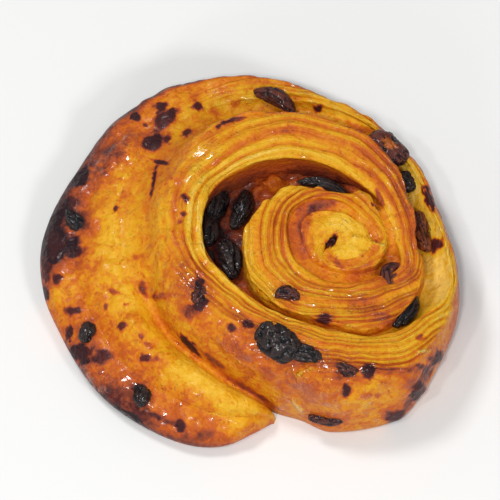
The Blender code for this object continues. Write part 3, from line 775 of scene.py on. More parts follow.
@dataclass(frozen=True)
class BakedFinish:
    """What dough and custard share: browning, burnt spots, thin lines and a glaze."""

    name: str
    mottle: float  # how uneven the browning is
    glow: float  # how much light scatters under the surface
    glow_reach: tuple[float, float, float] = (1.0, 0.4, 0.1)
    glow_depth: float = 0.0015
    roughness: float = 0.42
    wet_roughness: float = 0.16
    shine: float = 0.14
    coat: float = 0.04
    wet_coat: float = 1.1
    coat_roughness: float = 0.10
    coat_index: float = 1.5
    dull: float = 0.80  # how much of the coat a burnt spot loses
    dull_band: Band = (0.72, 0.98)
    burnt: float = 0.97
    deepest: float = 0.60  # the browning that mottling and the furrows' painted shade can reach on paler crust
    deeper: float = 0.05  # how far they can pass the browning that the mesh carries
    knee: float = 0.14
    flake_band: Band = (0.55, 0.80)
    flake_pale_and_highlight: float = 0.26
    flake_wet: float = 0.9
    flake_height: float = 0.5
    crest_band: Band = (0.05, 0.36)
    crest_highlight: float = -0.13
    furrow_band: Band = (0.10, 1.0)
    furrow_shade: float = 0.19
    tone_scales: tuple[float, float] = (3.7, 0.025)
    tone: Speckle = Speckle(1.0, 1.0, amount=0.34)
    hair_scales: tuple[float, float] = (3.6, 0.035)
    hair: Speckle = Speckle(1.0, 3.0, amount=0.34)
    streak_scales: tuple[float, float] = (5.0, 0.14)
    streak: Speckle = Speckle(1.0, 3.0, amount=1.2)
    broad: Speckle = Speckle(105.0, 2.0, 0.3, 0.42)
    patch: Blotch = Blotch(330.0, 3.0, 0.8, 0.14, (-0.08, 0.14))
    fine: Speckle = Speckle(1000.0, 3.0, 0.4, 0.30)
    freckle: Blotch = Blotch(560.0, 1.0, 0.5, 0.18, (0.15, 0.24))
    mottle_middle: float = 0.08
    glaze_mottle: float = 0.35  # the share of the mottling that only glazed crust has
    cut_calm: float = 0.45  # and the share that cut layers lose
    ragged: Speckle = Speckle(620.0, 3.0, 0.6, 0.8)
    halo_band: Band = (0.05, 0.60)
    halo_brown: float = 0.26
    core_band: Band = (0.45, 0.95)
    crack_ragged: float = 0.4
    crack_band: Band = (0.62, 0.90)
    crack_and_fold_shade: float = 0.62
    broken: Blotch = Blotch(560.0, 3.0, 1.2, 1.0, (-0.03, 0.06))
    drops: Blotch = Blotch(520.0, 3.0, 0.9, 0.80, (0.10, 0.18))
    dry: Speckle = Speckle(800.0, amount=0.3)
    coarse: Speckle = Speckle(420.0, 3.0, 0.6)
    coarse_size: tuple[float, float] = (0.0009, 0.75)
    sticky: Speckle = Speckle(1050.0, 2.0, 0.5)
    sticky_size: tuple[float, float] = (0.0007, 0.9)
    sticky_wet: float = 1.7
    sticky_dry: float = 0.30

    def make(self) -> bpy.types.Material:
        """Builds the material, which reads the values that the mesh carries."""
        g = Graph(self.name)
        place, carried = g.place(), g.attribute("brown")
        flake = g.step(g.attribute("flake"), self.flake_band)
        soft = carried + (self.mottling(g, place) + self.cut_lines(g))
        most = g.math("MAXIMUM", carried, self.deepest) + self.deeper
        # flake edges are paler: partly whitish dried glaze, partly a painted highlight standing in for glints
        soft = g.math("SMOOTH_MIN", soft, most, self.knee) - flake * self.flake_pale_and_highlight
        brown = self.burning(g, place, soft)
        wet = g.math("MAXIMUM", self.wetness(g, place), flake * self.flake_wet)
        dry = g.lumps(place, self.dry) + self.roughness
        coated = 1.0 - g.step(brown, self.dull_band) * self.dull
        return g.finish({
            "Base Color": g.ramp(brown, CRUST_COLOURS),
            "Normal": self.relief(g, place, wet, flake),
            "Roughness": dry - wet * (self.roughness - self.wet_roughness),
            "Coat Weight": (wet * self.wet_coat + self.coat) * coated,
            "Coat Roughness": self.coat_roughness,
            "Coat IOR": self.coat_index,
            "Specular IOR Level": self.shine,
            "Subsurface Weight": self.glow,
            "Subsurface Radius": self.glow_reach,
            "Subsurface Scale": self.glow_depth,
        })

    def cut_lines(self, g: Graph) -> Value:
        """Browning of the cut layers: crests paler with a painted highlight, hollows darker with painted
        shade, each layer with a tone of its own.

        Args:
            g: the material's graph.

        Returns:
            What is added to the browning.
        """
        ply = g.attribute("ply")
        off = g.math("ABSOLUTE", g.math("FRACT", ply) - 0.5)
        # painted highlight: the crests of the cut layers are paler
        crest = (1.0 - g.step(off, self.crest_band)) * self.crest_highlight
        tone = g.lumps(g.cut_place(g.math("FLOOR", ply), self.tone_scales), self.tone)
        hair = g.lumps(g.cut_place(ply, self.hair_scales), self.hair)
        # painted shade: the furrows between the cut layers are darker, by their depth
        furrow = g.step(g.attribute("furrow"), self.furrow_band) * self.furrow_shade
        return (crest + tone + hair) * g.attribute("cut") + furrow

    def mottling(self, g: Graph, place: Value) -> Value:
        """Uneven browning, from broad patches to freckles.

        Args:
            g: the material's graph.
            place: the place in metres.

        Returns:
            What is added to the browning.
        """
        total = g.lumps(place, self.broad) + g.blotches(place, self.patch)
        total = total + (g.lumps(place, self.fine) + g.blotches(place, self.freckle))
        uneven = (g.attribute("glaze") * self.glaze_mottle + (1 - self.glaze_mottle)) * self.mottle
        return (total - self.mottle_middle) * (uneven * (1.0 - g.attribute("cut") * self.cut_calm))

    def burning(self, g: Graph, place: Value, soft: Value) -> Value:
        """Adds burnt spots with ragged edges, and cracks.

        Args:
            g: the material's graph.
            place: the place in metres.
            soft: the browning without them.

        Returns:
            The browning with them.
        """
        char = g.attribute("char")
        ragged = g.lumps(place, self.ragged)
        field = g.attribute("burn") + ragged
        cracked = g.attribute("crack") + ragged * self.crack_ragged
        # cracks are darker; along the folds this darkening is painted shade
        crack = g.step(cracked, self.crack_band) * self.crack_and_fold_shade
        core = g.math("MAXIMUM", g.step(field, self.core_band) * char, crack)
        soft = soft + g.step(field, self.halo_band) * self.halo_brown * char
        return soft + (self.burnt - soft) * core

    def wetness(self, g: Graph, place: Value) -> Value:
        """Where the glaze lies: the marked patches, broken up, and small drops elsewhere."""
        marked = g.attribute("wet") * g.blotches(place, self.broken)
        return g.math("MAXIMUM", marked, g.blotches(place, self.drops) * g.attribute("glaze"))

    def relief(self, g: Graph, place: Value, wet: Value, flake: Value) -> Value:
        """Fine relief: crumb, hair lines along the layers, and sticky drops.

        Args:
            g: the material's graph.
            place: the place in metres.
            wet: how wet each place is.
            flake: 1 on a flake's edge.

        Returns:
            The normal.
        """
        streaks = g.lumps(g.cut_place(g.attribute("ply"), self.streak_scales), self.streak)
        height = g.lumps(place, self.coarse) + (streaks * g.attribute("cut") + flake * self.flake_height)
        sticky = g.lumps(place, self.sticky) * (wet * self.sticky_wet + self.sticky_dry)
        return g.bump(sticky, self.sticky_size, g.bump(height, self.coarse_size))


class Ripeness(Enum):
    """How dark a raisin is: its skin's darkest and lightest colours."""

    BLACK = ((0.007, 0.006, 0.008), (0.040, 0.025, 0.023))
    PLUM = ((0.020, 0.008, 0.010), (0.150, 0.038, 0.026))
    RUSSET = ((0.060, 0.016, 0.010), (0.300, 0.075, 0.024))


@dataclass(frozen=True)
class RaisinFinish:
    """Wrinkled, sticky raisin skin, with painted shade in its folds."""

    ripeness: Ripeness
    stops: tuple[float, float, float] = (0.15, 0.6, 0.95)
    blush: Speckle = Speckle(500.0, 3.0, amount=0.9)
    crumb: Speckle = Speckle(700.0, 3.0, amount=1.2)
    crumb_band: Band = (0.55, 0.75)
    crumb_colour: tuple[float, float, float] = (0.46, 0.12, 0.02)
    roughness: float = 0.26
    hollow_roughness: float = 0.15
    shine: float = 0.18
    coat: float = 0.30
    coat_roughness: float = 0.05
    wrinkle: Speckle = Speckle(1100.0, 2.0, 0.8)
    wrinkle_size: tuple[float, float] = (0.0007, 0.9)

    def make(self) -> bpy.types.Material:
        """Builds the material."""
        g = Graph(f"raisin_{self.ripeness.name.lower()}")
        place = g.place()
        dark, light = self.ripeness.value
        between = tuple(0.5 * (a + b) for a, b in zip(dark, light))
        # painted shade: the skin is darker in the folds, by the crease that the mesh carries
        tone = g.attribute("crease") + g.lumps(place, self.blush)
        crumb = g.step(g.attribute("crumb") + g.lumps(place, self.crumb), self.crumb_band)
        skin = g.ramp(tone, tuple(zip(self.stops, (dark, between, light))))
        return g.finish({
            "Base Color": g.mix(crumb, skin, self.crumb_colour),
            "Roughness": tone * self.hollow_roughness + self.roughness,
            "Specular IOR Level": self.shine,
            "Coat Weight": self.coat,
            "Coat Roughness": self.coat_roughness,
            "Normal": g.bump(g.lumps(place, self.wrinkle), self.wrinkle_size),
        })


def to_object(name: str, points: np.ndarray, faces: np.ndarray, carried: Carried) -> bpy.types.Object:
    """Makes a smooth-shaded mesh object.

    Args:
        name: the piece's name.
        points: its points in millimetres, one a row.
        faces: its four-sided faces, as rows of point numbers.
        carried: what each point carries, by name.

    Returns:
        The object, linked into the scene.
    """
    mesh = bpy.data.meshes.new(name)
    mesh.from_pydata((points * MM).tolist(), [], faces.tolist())
    mesh.polygons.foreach_set("use_smooth", np.ones(len(mesh.polygons), bool))
    for key, value in carried.items():
        attribute = mesh.attributes.new(key, "FLOAT", "POINT")
        attribute.data.foreach_set("value", np.asarray(value, np.float32).ravel())
    mesh.update()
    made = bpy.data.objects.new(name, mesh)
    bpy.context.scene.collection.objects.link(made)
    return made


def wrap_faces(sections: int, around: int) -> np.ndarray:
    """Four-sided faces over closed sections of points.

    Args:
        sections: how many there are.
        around: points in each, of which the last meets the first.

    Returns:
        Point numbers, one face a row.
    """
    i, j = np.meshgrid(np.arange(sections - 1), np.arange(around), indexing="ij")
    after = (j + 1) % around
    here, there = i * around, (i + 1) * around
    return np.stack((here + j, here + after, there + after, there + j), axis=-1).reshape(-1, 4)


def normals(points: np.ndarray) -> np.ndarray:
    """The unit normals of a grid of points, on the side that faces out of the strip."""
    along, across = np.gradient(points, axis=0), np.gradient(points, axis=1)
    found = np.cross(across, along)
    return found / np.maximum(np.linalg.norm(found, axis=-1, keepdims=True), 1e-9)


@dataclass
class Sections:
    """The measures of the strip's sections, one column each."""

    angle: np.ndarray
    foot: np.ndarray
    floor: np.ndarray
    inner: np.ndarray
    inner_z: np.ndarray
    outer: np.ndarray
    outer_z: np.ndarray
    low: np.ndarray
    low_z: np.ndarray
    base: np.ndarray
    layers: np.ndarray

    def middle(self) -> np.ndarray:
        """The radius of the middle of the visible strip, as one row."""
        return 0.5 * (self.inner + self.low)[:, 0]


@dataclass(frozen=True)
class Coil:
    """The strip's course and its sections."""

    start: float = -500.0
    end: float = 970.0
    core_radius: float = 0.35
    outside_start: float = 612.0
    outside_blend: float = 18.0
    tuck: float = 2.2
    least_top: float = 0.2
    narrowest: float = 0.45  # how far across the strip its inner rim may lie
    swell: float = 0.45
    skin_swell: float = 0.9
    swell_length: float = 9.0
    swell_turn: float = 0.02  # how fast the swelling changes from turn to turn, per degree
    rim_round: float = 0.9
    lobe_round: float = 3.2  # of the broad lobe's inner rim, which rolls down into the fold
    lobe_start: float = 850.0
    lobe_blend: float = 30.0

    def rounding(self, s: Sections) -> np.ndarray:
        """The radius of the strip's inner rim."""
        lobe = eased((s.angle - self.lobe_start) / self.lobe_blend)
        wanted = self.rim_round + lobe * (self.lobe_round - self.rim_round)
        return np.minimum(wanted, 0.25 * (s.outer - s.inner))

    def sections(self, angle: np.ndarray) -> Sections:
        """Works out sections from the grooves, the crest and the outline.

        Args:
            angle: angles along the coil.

        Returns:
            The sections' measures, shaped so that a row is a section.
        """
        radius, width, level, overhang, _ = read(GROOVES, angle - 360)
        beside, beside_width, beside_level, _, beside_skirt = read(GROOVES, angle)
        inner_z, outer_z, layers = read(CRESTS, angle)
        widest, widest_z, skirt = read(OUTSIDES, angle)
        angle = angle[:, None]
        foot = np.maximum(self.core_radius, radius + width / 2)
        free = eased((angle - self.outside_start) / self.outside_blend)
        low = (1 - free) * (beside - beside_width / 2) + free * widest
        low_z = (1 - free) * beside_level + free * widest_z
        run = (1 - free) * beside_skirt + free * skirt
        inner = np.minimum(foot - overhang, foot + self.narrowest * (low - foot))
        outer = np.maximum(low - run, inner + self.least_top)
        base = low - free * np.minimum(self.tuck, 0.4 * (low - foot))
        return Sections(angle, foot, level, inner, inner_z, outer, outer_z, low, low_z, base, layers)

    def unevenness(self, angle: np.ndarray, radius: np.ndarray) -> np.ndarray:
        """The slow swelling of baked dough, in millimetres for an amount of 1.

        Args:
            angle: the sections' angles.
            radius: the points' distances from the pole.

        Returns:
            The swelling, one value a point.
        """
        turn = np.radians(angle)
        places = stacked(radius * np.cos(turn), radius * np.sin(turn), self.swell_turn * angle)
        flat = places.reshape(-1, 3) / self.swell_length
        found = [noise.noise(Vector(place)) for place in flat]
        return np.array(found).reshape(places.shape[:-1])

    @staticmethod
    def placed(angle: np.ndarray, radius: np.ndarray, height: np.ndarray) -> np.ndarray:
        """Points in millimetres from angles, radii and heights."""
        turn = np.radians(angle)
        return stacked(POLE.x + radius * np.cos(turn), POLE.y + radius * np.sin(turn), height)


@dataclass
class Surface:
    """A baked surface before it is dressed: its points in millimetres and what each carries."""

    name: str
    points: np.ndarray
    faces: np.ndarray
    out: np.ndarray  # unit normals
    free: np.ndarray  # how far marks may raise it, from 0 to 1
    carried: Carried

    def __post_init__(self) -> None:
        """Starts every value that marks add to at nothing."""
        for key in ("burn", "char", "wet", "flake", "crack", "rise"):
            self.carried.setdefault(key, np.zeros(len(self.points)))

    def make(self) -> bpy.types.Object:
        """Raises the points by what the marks asked and makes the mesh."""
        points = self.points + self.out * (self.carried.pop("rise") * self.free)[:, None]
        points[:, 2] = np.maximum(points[:, 2], 0.0)
        return to_object(self.name, points, self.faces, self.carried)


@dataclass(frozen=True)
class Marks:
    """Lays the photograph's spots, patches, blisters and lines onto the surfaces."""

    shot: Shot
    reach: float = 2.0  # millimetres that a mark takes in beyond its own size
    spread: float = 2.2  # and how many times its own size
    raggedness: float = 0.5
    brown_fade: float = 0.9
    wet_edge: float = 1.6  # where wetness, rise and burning end, for a mark's own edge at 1
    rise_edge: float = 1.3
    burn_edge: float = 1.45
    line_reach: float = 1.5  # half-width of a line's field, of which its shader shows the middle
    line_wander: Grain = Grain(5, 2.0, 0.35)
    flake_rise: float = 0.60
    crack_rise: float = -0.12
    edge: Grain = Grain(5)

    def lay(self, surfaces: list[Surface], marks: list[Mark]) -> None:
        """Adds every mark and line to the surfaces that they fall on.

        Args:
            surfaces: the surfaces, which are changed.
            marks: the marks.
        """
        starts = np.cumsum([0] + [len(surface.points) for surface in surfaces])
        points = np.concatenate([surface.points for surface in surfaces])
        faces = np.concatenate([surface.faces + start for surface, start in zip(surfaces, starts)])
        tree = BVHTree.FromPolygons(points.tolist(), faces.tolist())
        for kind, drawn in ((self.add, marks), (self.draw, LINES)):
            for one in drawn:
                hit = self.hit(tree, one)
                if hit is None:
                    LOG.info("nothing under %s", one)
                    continue
                for surface in surfaces:
                    kind(one, hit, surface)

    def hit(self, tree: BVHTree, one: Mark | Line) -> np.ndarray | None:
        """Finds what shows in the middle of a mark or line, in millimetres.

        Args:
            tree: the surfaces.
            one: the mark or line.

        Returns:
            The place, or None where nothing shows.
        """
        if isinstance(one, Mark):
            pixel = (one.across, one.down)
        else:
            pixel = (0.5 * (a + b) for a, b in zip(one.start, one.end))
        eye, way = self.shot.ray(*pixel)
        found = tree.ray_cast(Vector(eye), Vector(way))[0]
        return None if found is None else np.array(found)

    def add(self, mark: Mark, hit: np.ndarray, surface: Surface) -> None:
        """Adds one mark to one surface.

        Args:
            mark: the mark.
            hit: where it lies, in millimetres.
            surface: the surface, which is changed.
        """
        size = self.spread * max(mark.length, mark.width) + self.reach
        near = np.linalg.norm(surface.points - hit, axis=1) < size
        if not near.any():
            return
        across, down = self.shot.seen(surface.points[near])
        turn = math.radians(mark.turn)
        x, y = (across - mark.across) / self.shot.scale, (mark.down - down) / self.shot.scale
        u = (x * math.cos(turn) + y * math.sin(turn)) / mark.length
        v = (y * math.cos(turn) - x * math.sin(turn)) / mark.width
        plain = np.hypot(u, v)
        lump = 0.7 * min(mark.length, mark.width) + 0.4
        far = plain + self.raggedness * self.edge.at(surface.points[near] / lump)
        carried = surface.carried
        carried["brown"][near] += mark.brown * np.exp(-self.brown_fade * far * far)
        carried["wet"][near] = np.maximum(carried["wet"][near], mark.wet * eased(self.wet_edge - far))
        carried["rise"][near] += mark.rise * eased(self.rise_edge - plain)
        if mark.burn:
            core = eased(self.burn_edge - far)
            stronger = core * mark.burn > carried["burn"][near] * carried["char"][near]
            carried["char"][near] = np.where(stronger, mark.burn, carried["char"][near])
            carried["burn"][near] = np.where(stronger, core, carried["burn"][near])

    def draw(self, line: Line, hit: np.ndarray, surface: Surface) -> None:
        """Draws one line on one surface.

        Args:
            line: the line.
            hit: its middle, in millimetres.
            surface: the surface, which is changed.
        """
        span = np.array(line.end) - np.array(line.start)
        length = np.hypot(*span)
        near = np.linalg.norm(surface.points - hit, axis=1) < length / self.shot.scale + 2 * self.reach
        if not near.any():
            return
        seen = np.stack(self.shot.seen(surface.points[near]), axis=-1) - np.array(line.start)
        share = np.clip(seen @ span / length**2, 0, 1)
        away = np.linalg.norm(seen - share[:, None] * span, axis=1) / self.shot.scale
        away = away + self.line_wander.at(surface.points[near])
        field = np.clip(1 - np.abs(away) / self.line_reach, 0, 1)
        for key, strength in (("flake", line.flake), ("crack", line.crack)):
            carried = surface.carried[key]
            carried[near] = np.maximum(carried[near], field * strength)
        rise = self.flake_rise * line.flake + self.crack_rise * line.crack
        surface.carried["rise"][near] += rise * eased(field)


@dataclass(frozen=True)
class Ground:
    """The finished dough on both sides of the groove, read by angle and radius."""

    angles: np.ndarray
    radii: np.ndarray  # one row a section
    heights: np.ndarray
    wall: slice  # the columns of the wall, the rim and the top
    skin: slice
    nothing: float = -99.0
    step: float = 0.2
    reach: float = 9.0  # how far the ball rolls on both sides, beyond its own radius
    least_ball: float = 0.8
    lifted: float = 0.03  # how far off the dough the ball leaves it
    sink: float = 0.25  # how far the seam lies under the dough at its edges
    sink_height: float = 0.30
    margin: float = 0.7
    window: int = 13  # sections over which the seam's edges are evened out
    evening: int = 7  # and those for its heights

    def section(self, angle: float, columns: slice) -> tuple[np.ndarray, np.ndarray]:
        """Radii and heights of some columns at an angle.

        Args:
            angle: along the coil.
            columns: the wall's or the skin's.

        Returns:
            The radii and the heights.
        """
        after = int(np.clip(np.searchsorted(self.angles, angle), 1, len(self.angles) - 1))
        share = (angle - self.angles[after - 1]) / (self.angles[after] - self.angles[after - 1])
        share = float(np.clip(share, 0, 1))
        radii, heights = (
            (1 - share) * table[after - 1, columns] + share * table[after, columns]
            for table in (self.radii, self.heights)
        )
        return np.maximum.accumulate(radii), heights

    def height(self, angle: float, radii: np.ndarray) -> np.ndarray:
        """The dough's height at an angle, on the inner turn's skin or the outer turn, whichever is higher."""
        inner = np.interp(radii, *self.section(angle, self.skin), right=self.nothing)
        outer = np.interp(radii, *self.section(angle + 360, self.wall), left=self.nothing)
        return np.maximum(inner, outer)

    def rolled(self, angle: float, middle: float, floor: float, ball: float) -> tuple[np.ndarray, ...]:
        """Rolls a ball along the dough and follows its underside.

        Args:
            angle: the section's angle.
            middle: the groove's radius.
            floor: the groove's level, which the ball doesn't sink under.
            ball: the ball's radius.

        Returns:
            Radii, the dough's heights there, and the ball's.
        """
        reach = self.reach + ball
        radii = middle + np.linspace(-reach, reach, int(2 * reach / self.step) + 1)
        ground = np.maximum(self.height(angle, radii), floor)
        apart = np.abs(radii[:, None] - radii[None, :])
        cap = np.where(apart < ball, np.sqrt(np.maximum(ball**2 - apart**2, 0)), self.nothing)
        centre = np.max(ground[None, :] + cap, axis=1)
        return radii, ground, np.min(np.where(apart < ball, centre[None, :] - cap, -self.nothing), axis=1)

    def seam(self, course: list[np.ndarray], least: np.ndarray, share: np.ndarray) -> np.ndarray:
        """Works out a smooth seam in the groove, a little under the dough at both of its edges.

        Args:
            course: the sections' angles, and the groove's radii, its levels and the balls' radii there.
            least: the inner and outer radii that the seam reaches at least, one row a section.
            share: where across the seam its points lie, from 0 to 1.

        Returns:
            Radii and heights, stacked.
        """
        curves, edges = [], []
        for angle, middle, floor, ball in zip(*course):
            radii, ground, rolled = self.rolled(angle, middle, floor, max(ball, self.least_ball))
            lifted = rolled - ground > self.lifted
            first = last = int(np.argmin(np.abs(radii - middle)))
            while first > 0 and lifted[first]:
                first -= 1
            while last < len(radii) - 1 and lifted[last]:
                last += 1
            sunk = self.sink * (1 - eased((rolled - ground) / self.sink_height))
            curves.append((radii, rolled - sunk))
            edges.append((radii[first] - self.margin, radii[last] + self.margin))
        edges = evened(np.array(edges), self.window)
        left, right = np.minimum(edges[:, 0], least[:, 0]), np.maximum(edges[:, 1], least[:, 1])
        radii = left[:, None] + share[None, :] * (right - left)[:, None]
        heights = np.array([np.interp(row, *curve) for row, curve in zip(radii, curves)])
        return np.stack((radii, evened(heights, self.evening)))


@dataclass(frozen=True)
class Dough:
    """The strip of dough: its cut layers on top, its glazed skin outside."""

    coil: Coil
    wall_points: int = 9
    rim_points: int = 4
    top_points: int = 46
    skin_points: int = 34
    tuck_points: int = 3
    stations: int = 1010
    close_stations: int = 6000
    foot_depth: float = 1.0  # how far under the custard the wall's drawn part begins
    crown: float = 0.5
    bow: float = 0.7
    pillow_start: float = 872.0
    pillow_blend: float = 40.0
    nose_angle: float = 7.0
    wander: tuple[Grain, Grain] = (Grain(11, 11.0, 1.1), Grain(12, 3.4, 0.30))
    gathered: Grain = Grain(15, amount=0.55)
    gathered_length: float = 30.0
    tall: Grain = Grain(13)
    tall_length: float = 22.0
    deep: Grain = Grain(16, amount=0.95)
    deep_length: float = 18.0
    deep_middle: float = 0.50
    deep_limits: Band = (0.08, 1.25)
    furrow_width: float = 2.6
    layer_relief: float = 0.30
    layer_lumps: Grain = Grain(14, 4.5, 0.35)
    narrow_top: float = 4.0  # tops narrower than this have flatter layers
    lumps: Grain = Grain(21, 5.5, 0.42)
    bumps: Grain = Grain(22, 2.4, 0.24)
    creases: Grain = Grain(23, 2.6)
    crease_depth: float = 0.30
    crease_middle: float = 0.4
    wall_lumps: Grain = Grain(24, 2.5, 0.15)
    rough: float = 0.6
    rough_until: float = 700.0  # the angle up to which the skin is rough, before the smooth lobe
    rough_blend: float = 60.0
    pocket: Band = (400.0, 600.0)  # the angles between which the wall is the pocket's
    pocket_blend: float = 25.0
    # the pocket's wall: caramelised brown with painted shade, and more painted shade the deeper it lies
    pocket_brown_and_shade: float = 0.20
    pocket_depth_shade: float = 0.24
    pocket_depth: float = 9.0

    def angles(self) -> np.ndarray:
        """The sections' angles, evenly spaced along the middle of the visible strip."""
        close = np.linspace(self.coil.start, self.coil.end, self.close_stations)
        return evenly(close, self.coil.sections(close).middle(), self.stations)

    def shape(self) -> Surface:
        """Draws the strip, bakes it and raises its layers and wrinkles."""
        angle = self.angles()
        s = self.coil.sections(angle)
        radius, height, zone = self.profile(s)
        height = (height + self.uneven(s, radius, zone)) * self.nose(s)
        points = self.coil.placed(s.angle, radius, height)
        along = arc_lengths(angle, s.middle())[:, None]
        ply, relief, furrow = self.layers(s, stacked(radius - s.inner, along), zone, points)
        out = normals(points).reshape(-1, 3)
        shown = zone["top"] + zone["skin"]
        push = (relief + self.wrinkles(points, zone, s)) * self.nose(s) ** 2
        carried = {
            "cut": s.layers * zone["cut"],
            "ply": ply,
            # the furrows' depth, which the crust also uses to paint shade into them
            "furrow": furrow,
            "along": along,
            "brown": self.bake(s, zone, height),
            "glaze": shown,
        }
        carried = {key: np.broadcast_to(value, radius.shape).flatten() for key, value in carried.items()}
        flat = points.reshape(-1, 3) + out * push.reshape(-1, 1)
        free = (shown * self.nose(s) ** 2).reshape(-1)
        return Surface("strip_of_dough", flat, wrap_faces(*radius.shape), out, free, carried)

    def nose(self, s: Sections) -> np.ndarray:
        """Rounds the strip's end down to the floor."""
        past = np.clip(1 - (self.coil.end - s.angle) / self.nose_angle, 0, 1)
        return np.sqrt(np.maximum(1 - past**2, 0.0))

    def ground(self, surface: Surface) -> Ground:
        """The finished strip, for what lies in its groove.

        Args:
            surface: the strip.

        Returns:
            Its points by angle and radius.
        """
        angle = self.angles()
        points = surface.points.reshape(len(angle), -1, 3) - np.array(POLE)
        top = 1 + self.wall_points + self.rim_points + self.top_points
        radii = np.hypot(points[..., 0], points[..., 1])
        return Ground(angle, radii, points[..., 2], slice(1, top), slice(top - 2, top + self.skin_points))

    def profile(self, s: Sections) -> tuple[np.ndarray, np.ndarray, Carried]:
        """Draws every section.

        Args:
            s: the sections' measures.

        Returns:
            Radii, heights and the weight of each zone.
        """
        rounding = self.coil.rounding(s)
        rise = s.inner_z - rounding - s.floor
        t = np.linspace(0, 1, self.wall_points)[None, :]
        hang = 0.5 * (s.foot + s.inner) + 2 * np.minimum(self.bow, 0.08 * rise)
        wall_r = s.foot * (1 - t) ** 2 + 2 * hang * t * (1 - t) + s.inner * t * t
        wall_z = s.floor - self.foot_depth + t * (rise + self.foot_depth)

        turn = self.quarter(self.rim_points)
        rim_r = s.inner + rounding * (1 - np.cos(turn))
        rim_z = s.inner_z - rounding + rounding * np.sin(turn)

        wall_r, rim_r, wall_z, rim_z = self.pillow(s, rounding, wall_r, rim_r, wall_z, rim_z)
        t = np.linspace(0, 1, self.top_points + 1)[None, 1:]
        top_r = s.inner + rounding + t * (s.outer - s.inner - rounding)
        top_z = s.inner_z + t * (s.outer_z - s.inner_z) + self.crown * np.sin(math.pi * t)

        turn = self.quarter(self.skin_points)
        skin_r = s.outer + (s.low - s.outer) * np.sin(turn)
        skin_z = s.low_z + (s.outer_z - s.low_z) * np.cos(turn)

        t = np.linspace(0, 1, self.tuck_points + 1)[None, 1:]
        tuck_r = s.low + (s.base - s.low) * t * t
        tuck_z = s.low_z * (1 - t)

        radius = np.concatenate((s.foot, wall_r, rim_r, top_r, skin_r, tuck_r), axis=1)
        height = np.concatenate((0 * s.foot, wall_z, rim_z, top_z, skin_z, tuck_z), axis=1)
        return radius, height, self.zones()

    @staticmethod
    def quarter(count: int) -> np.ndarray:
        """The angles of the points that follow the first on a quarter of a circle, in radians."""
        return np.linspace(0, 0.5 * math.pi, count + 1)[None, 1:]

    def pillow(self, s: Sections, rounding: np.ndarray, *parts: np.ndarray) -> list[np.ndarray]:
        """Rolls the broad lobe's wall and rim into one soft curve that ends in the fold.

        Args:
            s: the sections' measures.
            rounding: the rim's radius.
            parts: the wall's and the rim's radii, then their heights.

        Returns:
            The same four, with the lobe's part changed.
        """
        turn = np.linspace(0, 0.5 * math.pi, self.wall_points + self.rim_points)[None, :]
        middle, start = s.inner + rounding, s.floor - self.foot_depth
        radius = middle - (middle - s.foot) * np.cos(turn)
        height = start + (s.inner_z - start) * np.sin(turn)
        lobe = eased((s.angle - self.pillow_start) / self.pillow_blend)
        soft = [part for whole in (radius, height) for part in np.split(whole, [self.wall_points], axis=1)]
        return [part + lobe * (wanted - part) for part, wanted in zip(parts, soft)]

    def zones(self) -> Carried:
        """Weighs each zone of a section.

        Returns:
            Rows of weights by zone's name, with the share: 0 inner rim, 1 middle, 2 outer rim, 4 edge.
        """
        counts = (1, self.wall_points, self.rim_points, self.top_points, self.skin_points, self.tuck_points)
        starts = np.concatenate(([0], np.cumsum(counts)))
        place = np.arange(starts[-1])[None, :]
        zone = {}
        for name, first, last in (("wall", 1, 1), ("top", 2, 3), ("skin", 4, 4)):
            inside = (place >= starts[first]) & (place < starts[last + 1])
            zone[name] = inside.astype(float)
        fading = np.clip(1 - 2.5 * (place - starts[4]) / counts[4], 0, 1)
        zone["cut"] = np.where(place < starts[4], zone["top"], fading)
        top = 2 * (place - starts[3]) / (counts[3] - 1)
        skin = 2 + 2 * (place - starts[4] + 1) / counts[4]
        zone["share"] = np.clip(np.where(place < starts[4], top, skin), 0, 4)
        return zone

    def uneven(self, s: Sections, radius: np.ndarray, zone: Carried) -> np.ndarray:
        """The slow swelling of the top and the skin, in millimetres of height.

        Args:
            s: the sections' measures.
            radius: the points' distances from the pole.
            zone: the weight of each zone.

        Returns:
            What is added to the heights.
        """
        c = self.coil
        amount = c.skin_swell + (c.swell - c.skin_swell) * s.layers
        fade = np.clip(4 - zone["share"], 0, 1) * (zone["top"] + zone["skin"])
        return amount * fade * c.unevenness(s.angle, radius)

    def layers(
        self, s: Sections, place: np.ndarray, zone: Carried, points: np.ndarray
    ) -> tuple[np.ndarray, ...]:
        """Draws the cut layers.

        Args:
            s: the sections' measures.
            place: millimetres from the inner rim and along the strip.
            zone: the weight of each zone.
            points: the surface's points.

        Returns:
            Layers counted from the inner rim, their relief in millimetres, and the furrows between them.
        """
        across, along = place[..., 0], place[..., 1]
        wander = sum(grain.at(points) for grain in self.wander)
        ply = (across + wander) / np.interp(s.angle, *np.array(PITCHES).T)
        ply = ply + self.gathered.at(stacked(0.8 * ply, along / self.gathered_length, 0 * ply))
        index = np.floor(ply)
        tall = self.tall.at(stacked(7.31 * index, along / self.tall_length, 0 * ply))
        crest = np.sqrt(1 - (2 * (ply - index) - 1) ** 2)
        seam = np.round(ply)
        deep = self.deep_middle + self.deep.at(stacked(5.17 * seam, along / self.deep_length, 0 * ply + 9))
        wide = np.clip(1 - self.furrow_width * np.abs(ply - seam), 0, 1)
        furrow = np.clip(deep, *self.deep_limits) * wide**1.2
        relief = self.layer_relief * (1.3 * tall * crest + 0.5 * crest - 2.1 * furrow)
        relief = relief + self.layer_lumps.at(points)
        weight = s.layers * zone["cut"] * np.minimum(1.0, (s.outer - s.inner) / self.narrow_top)
        return ply, relief * weight, furrow * weight

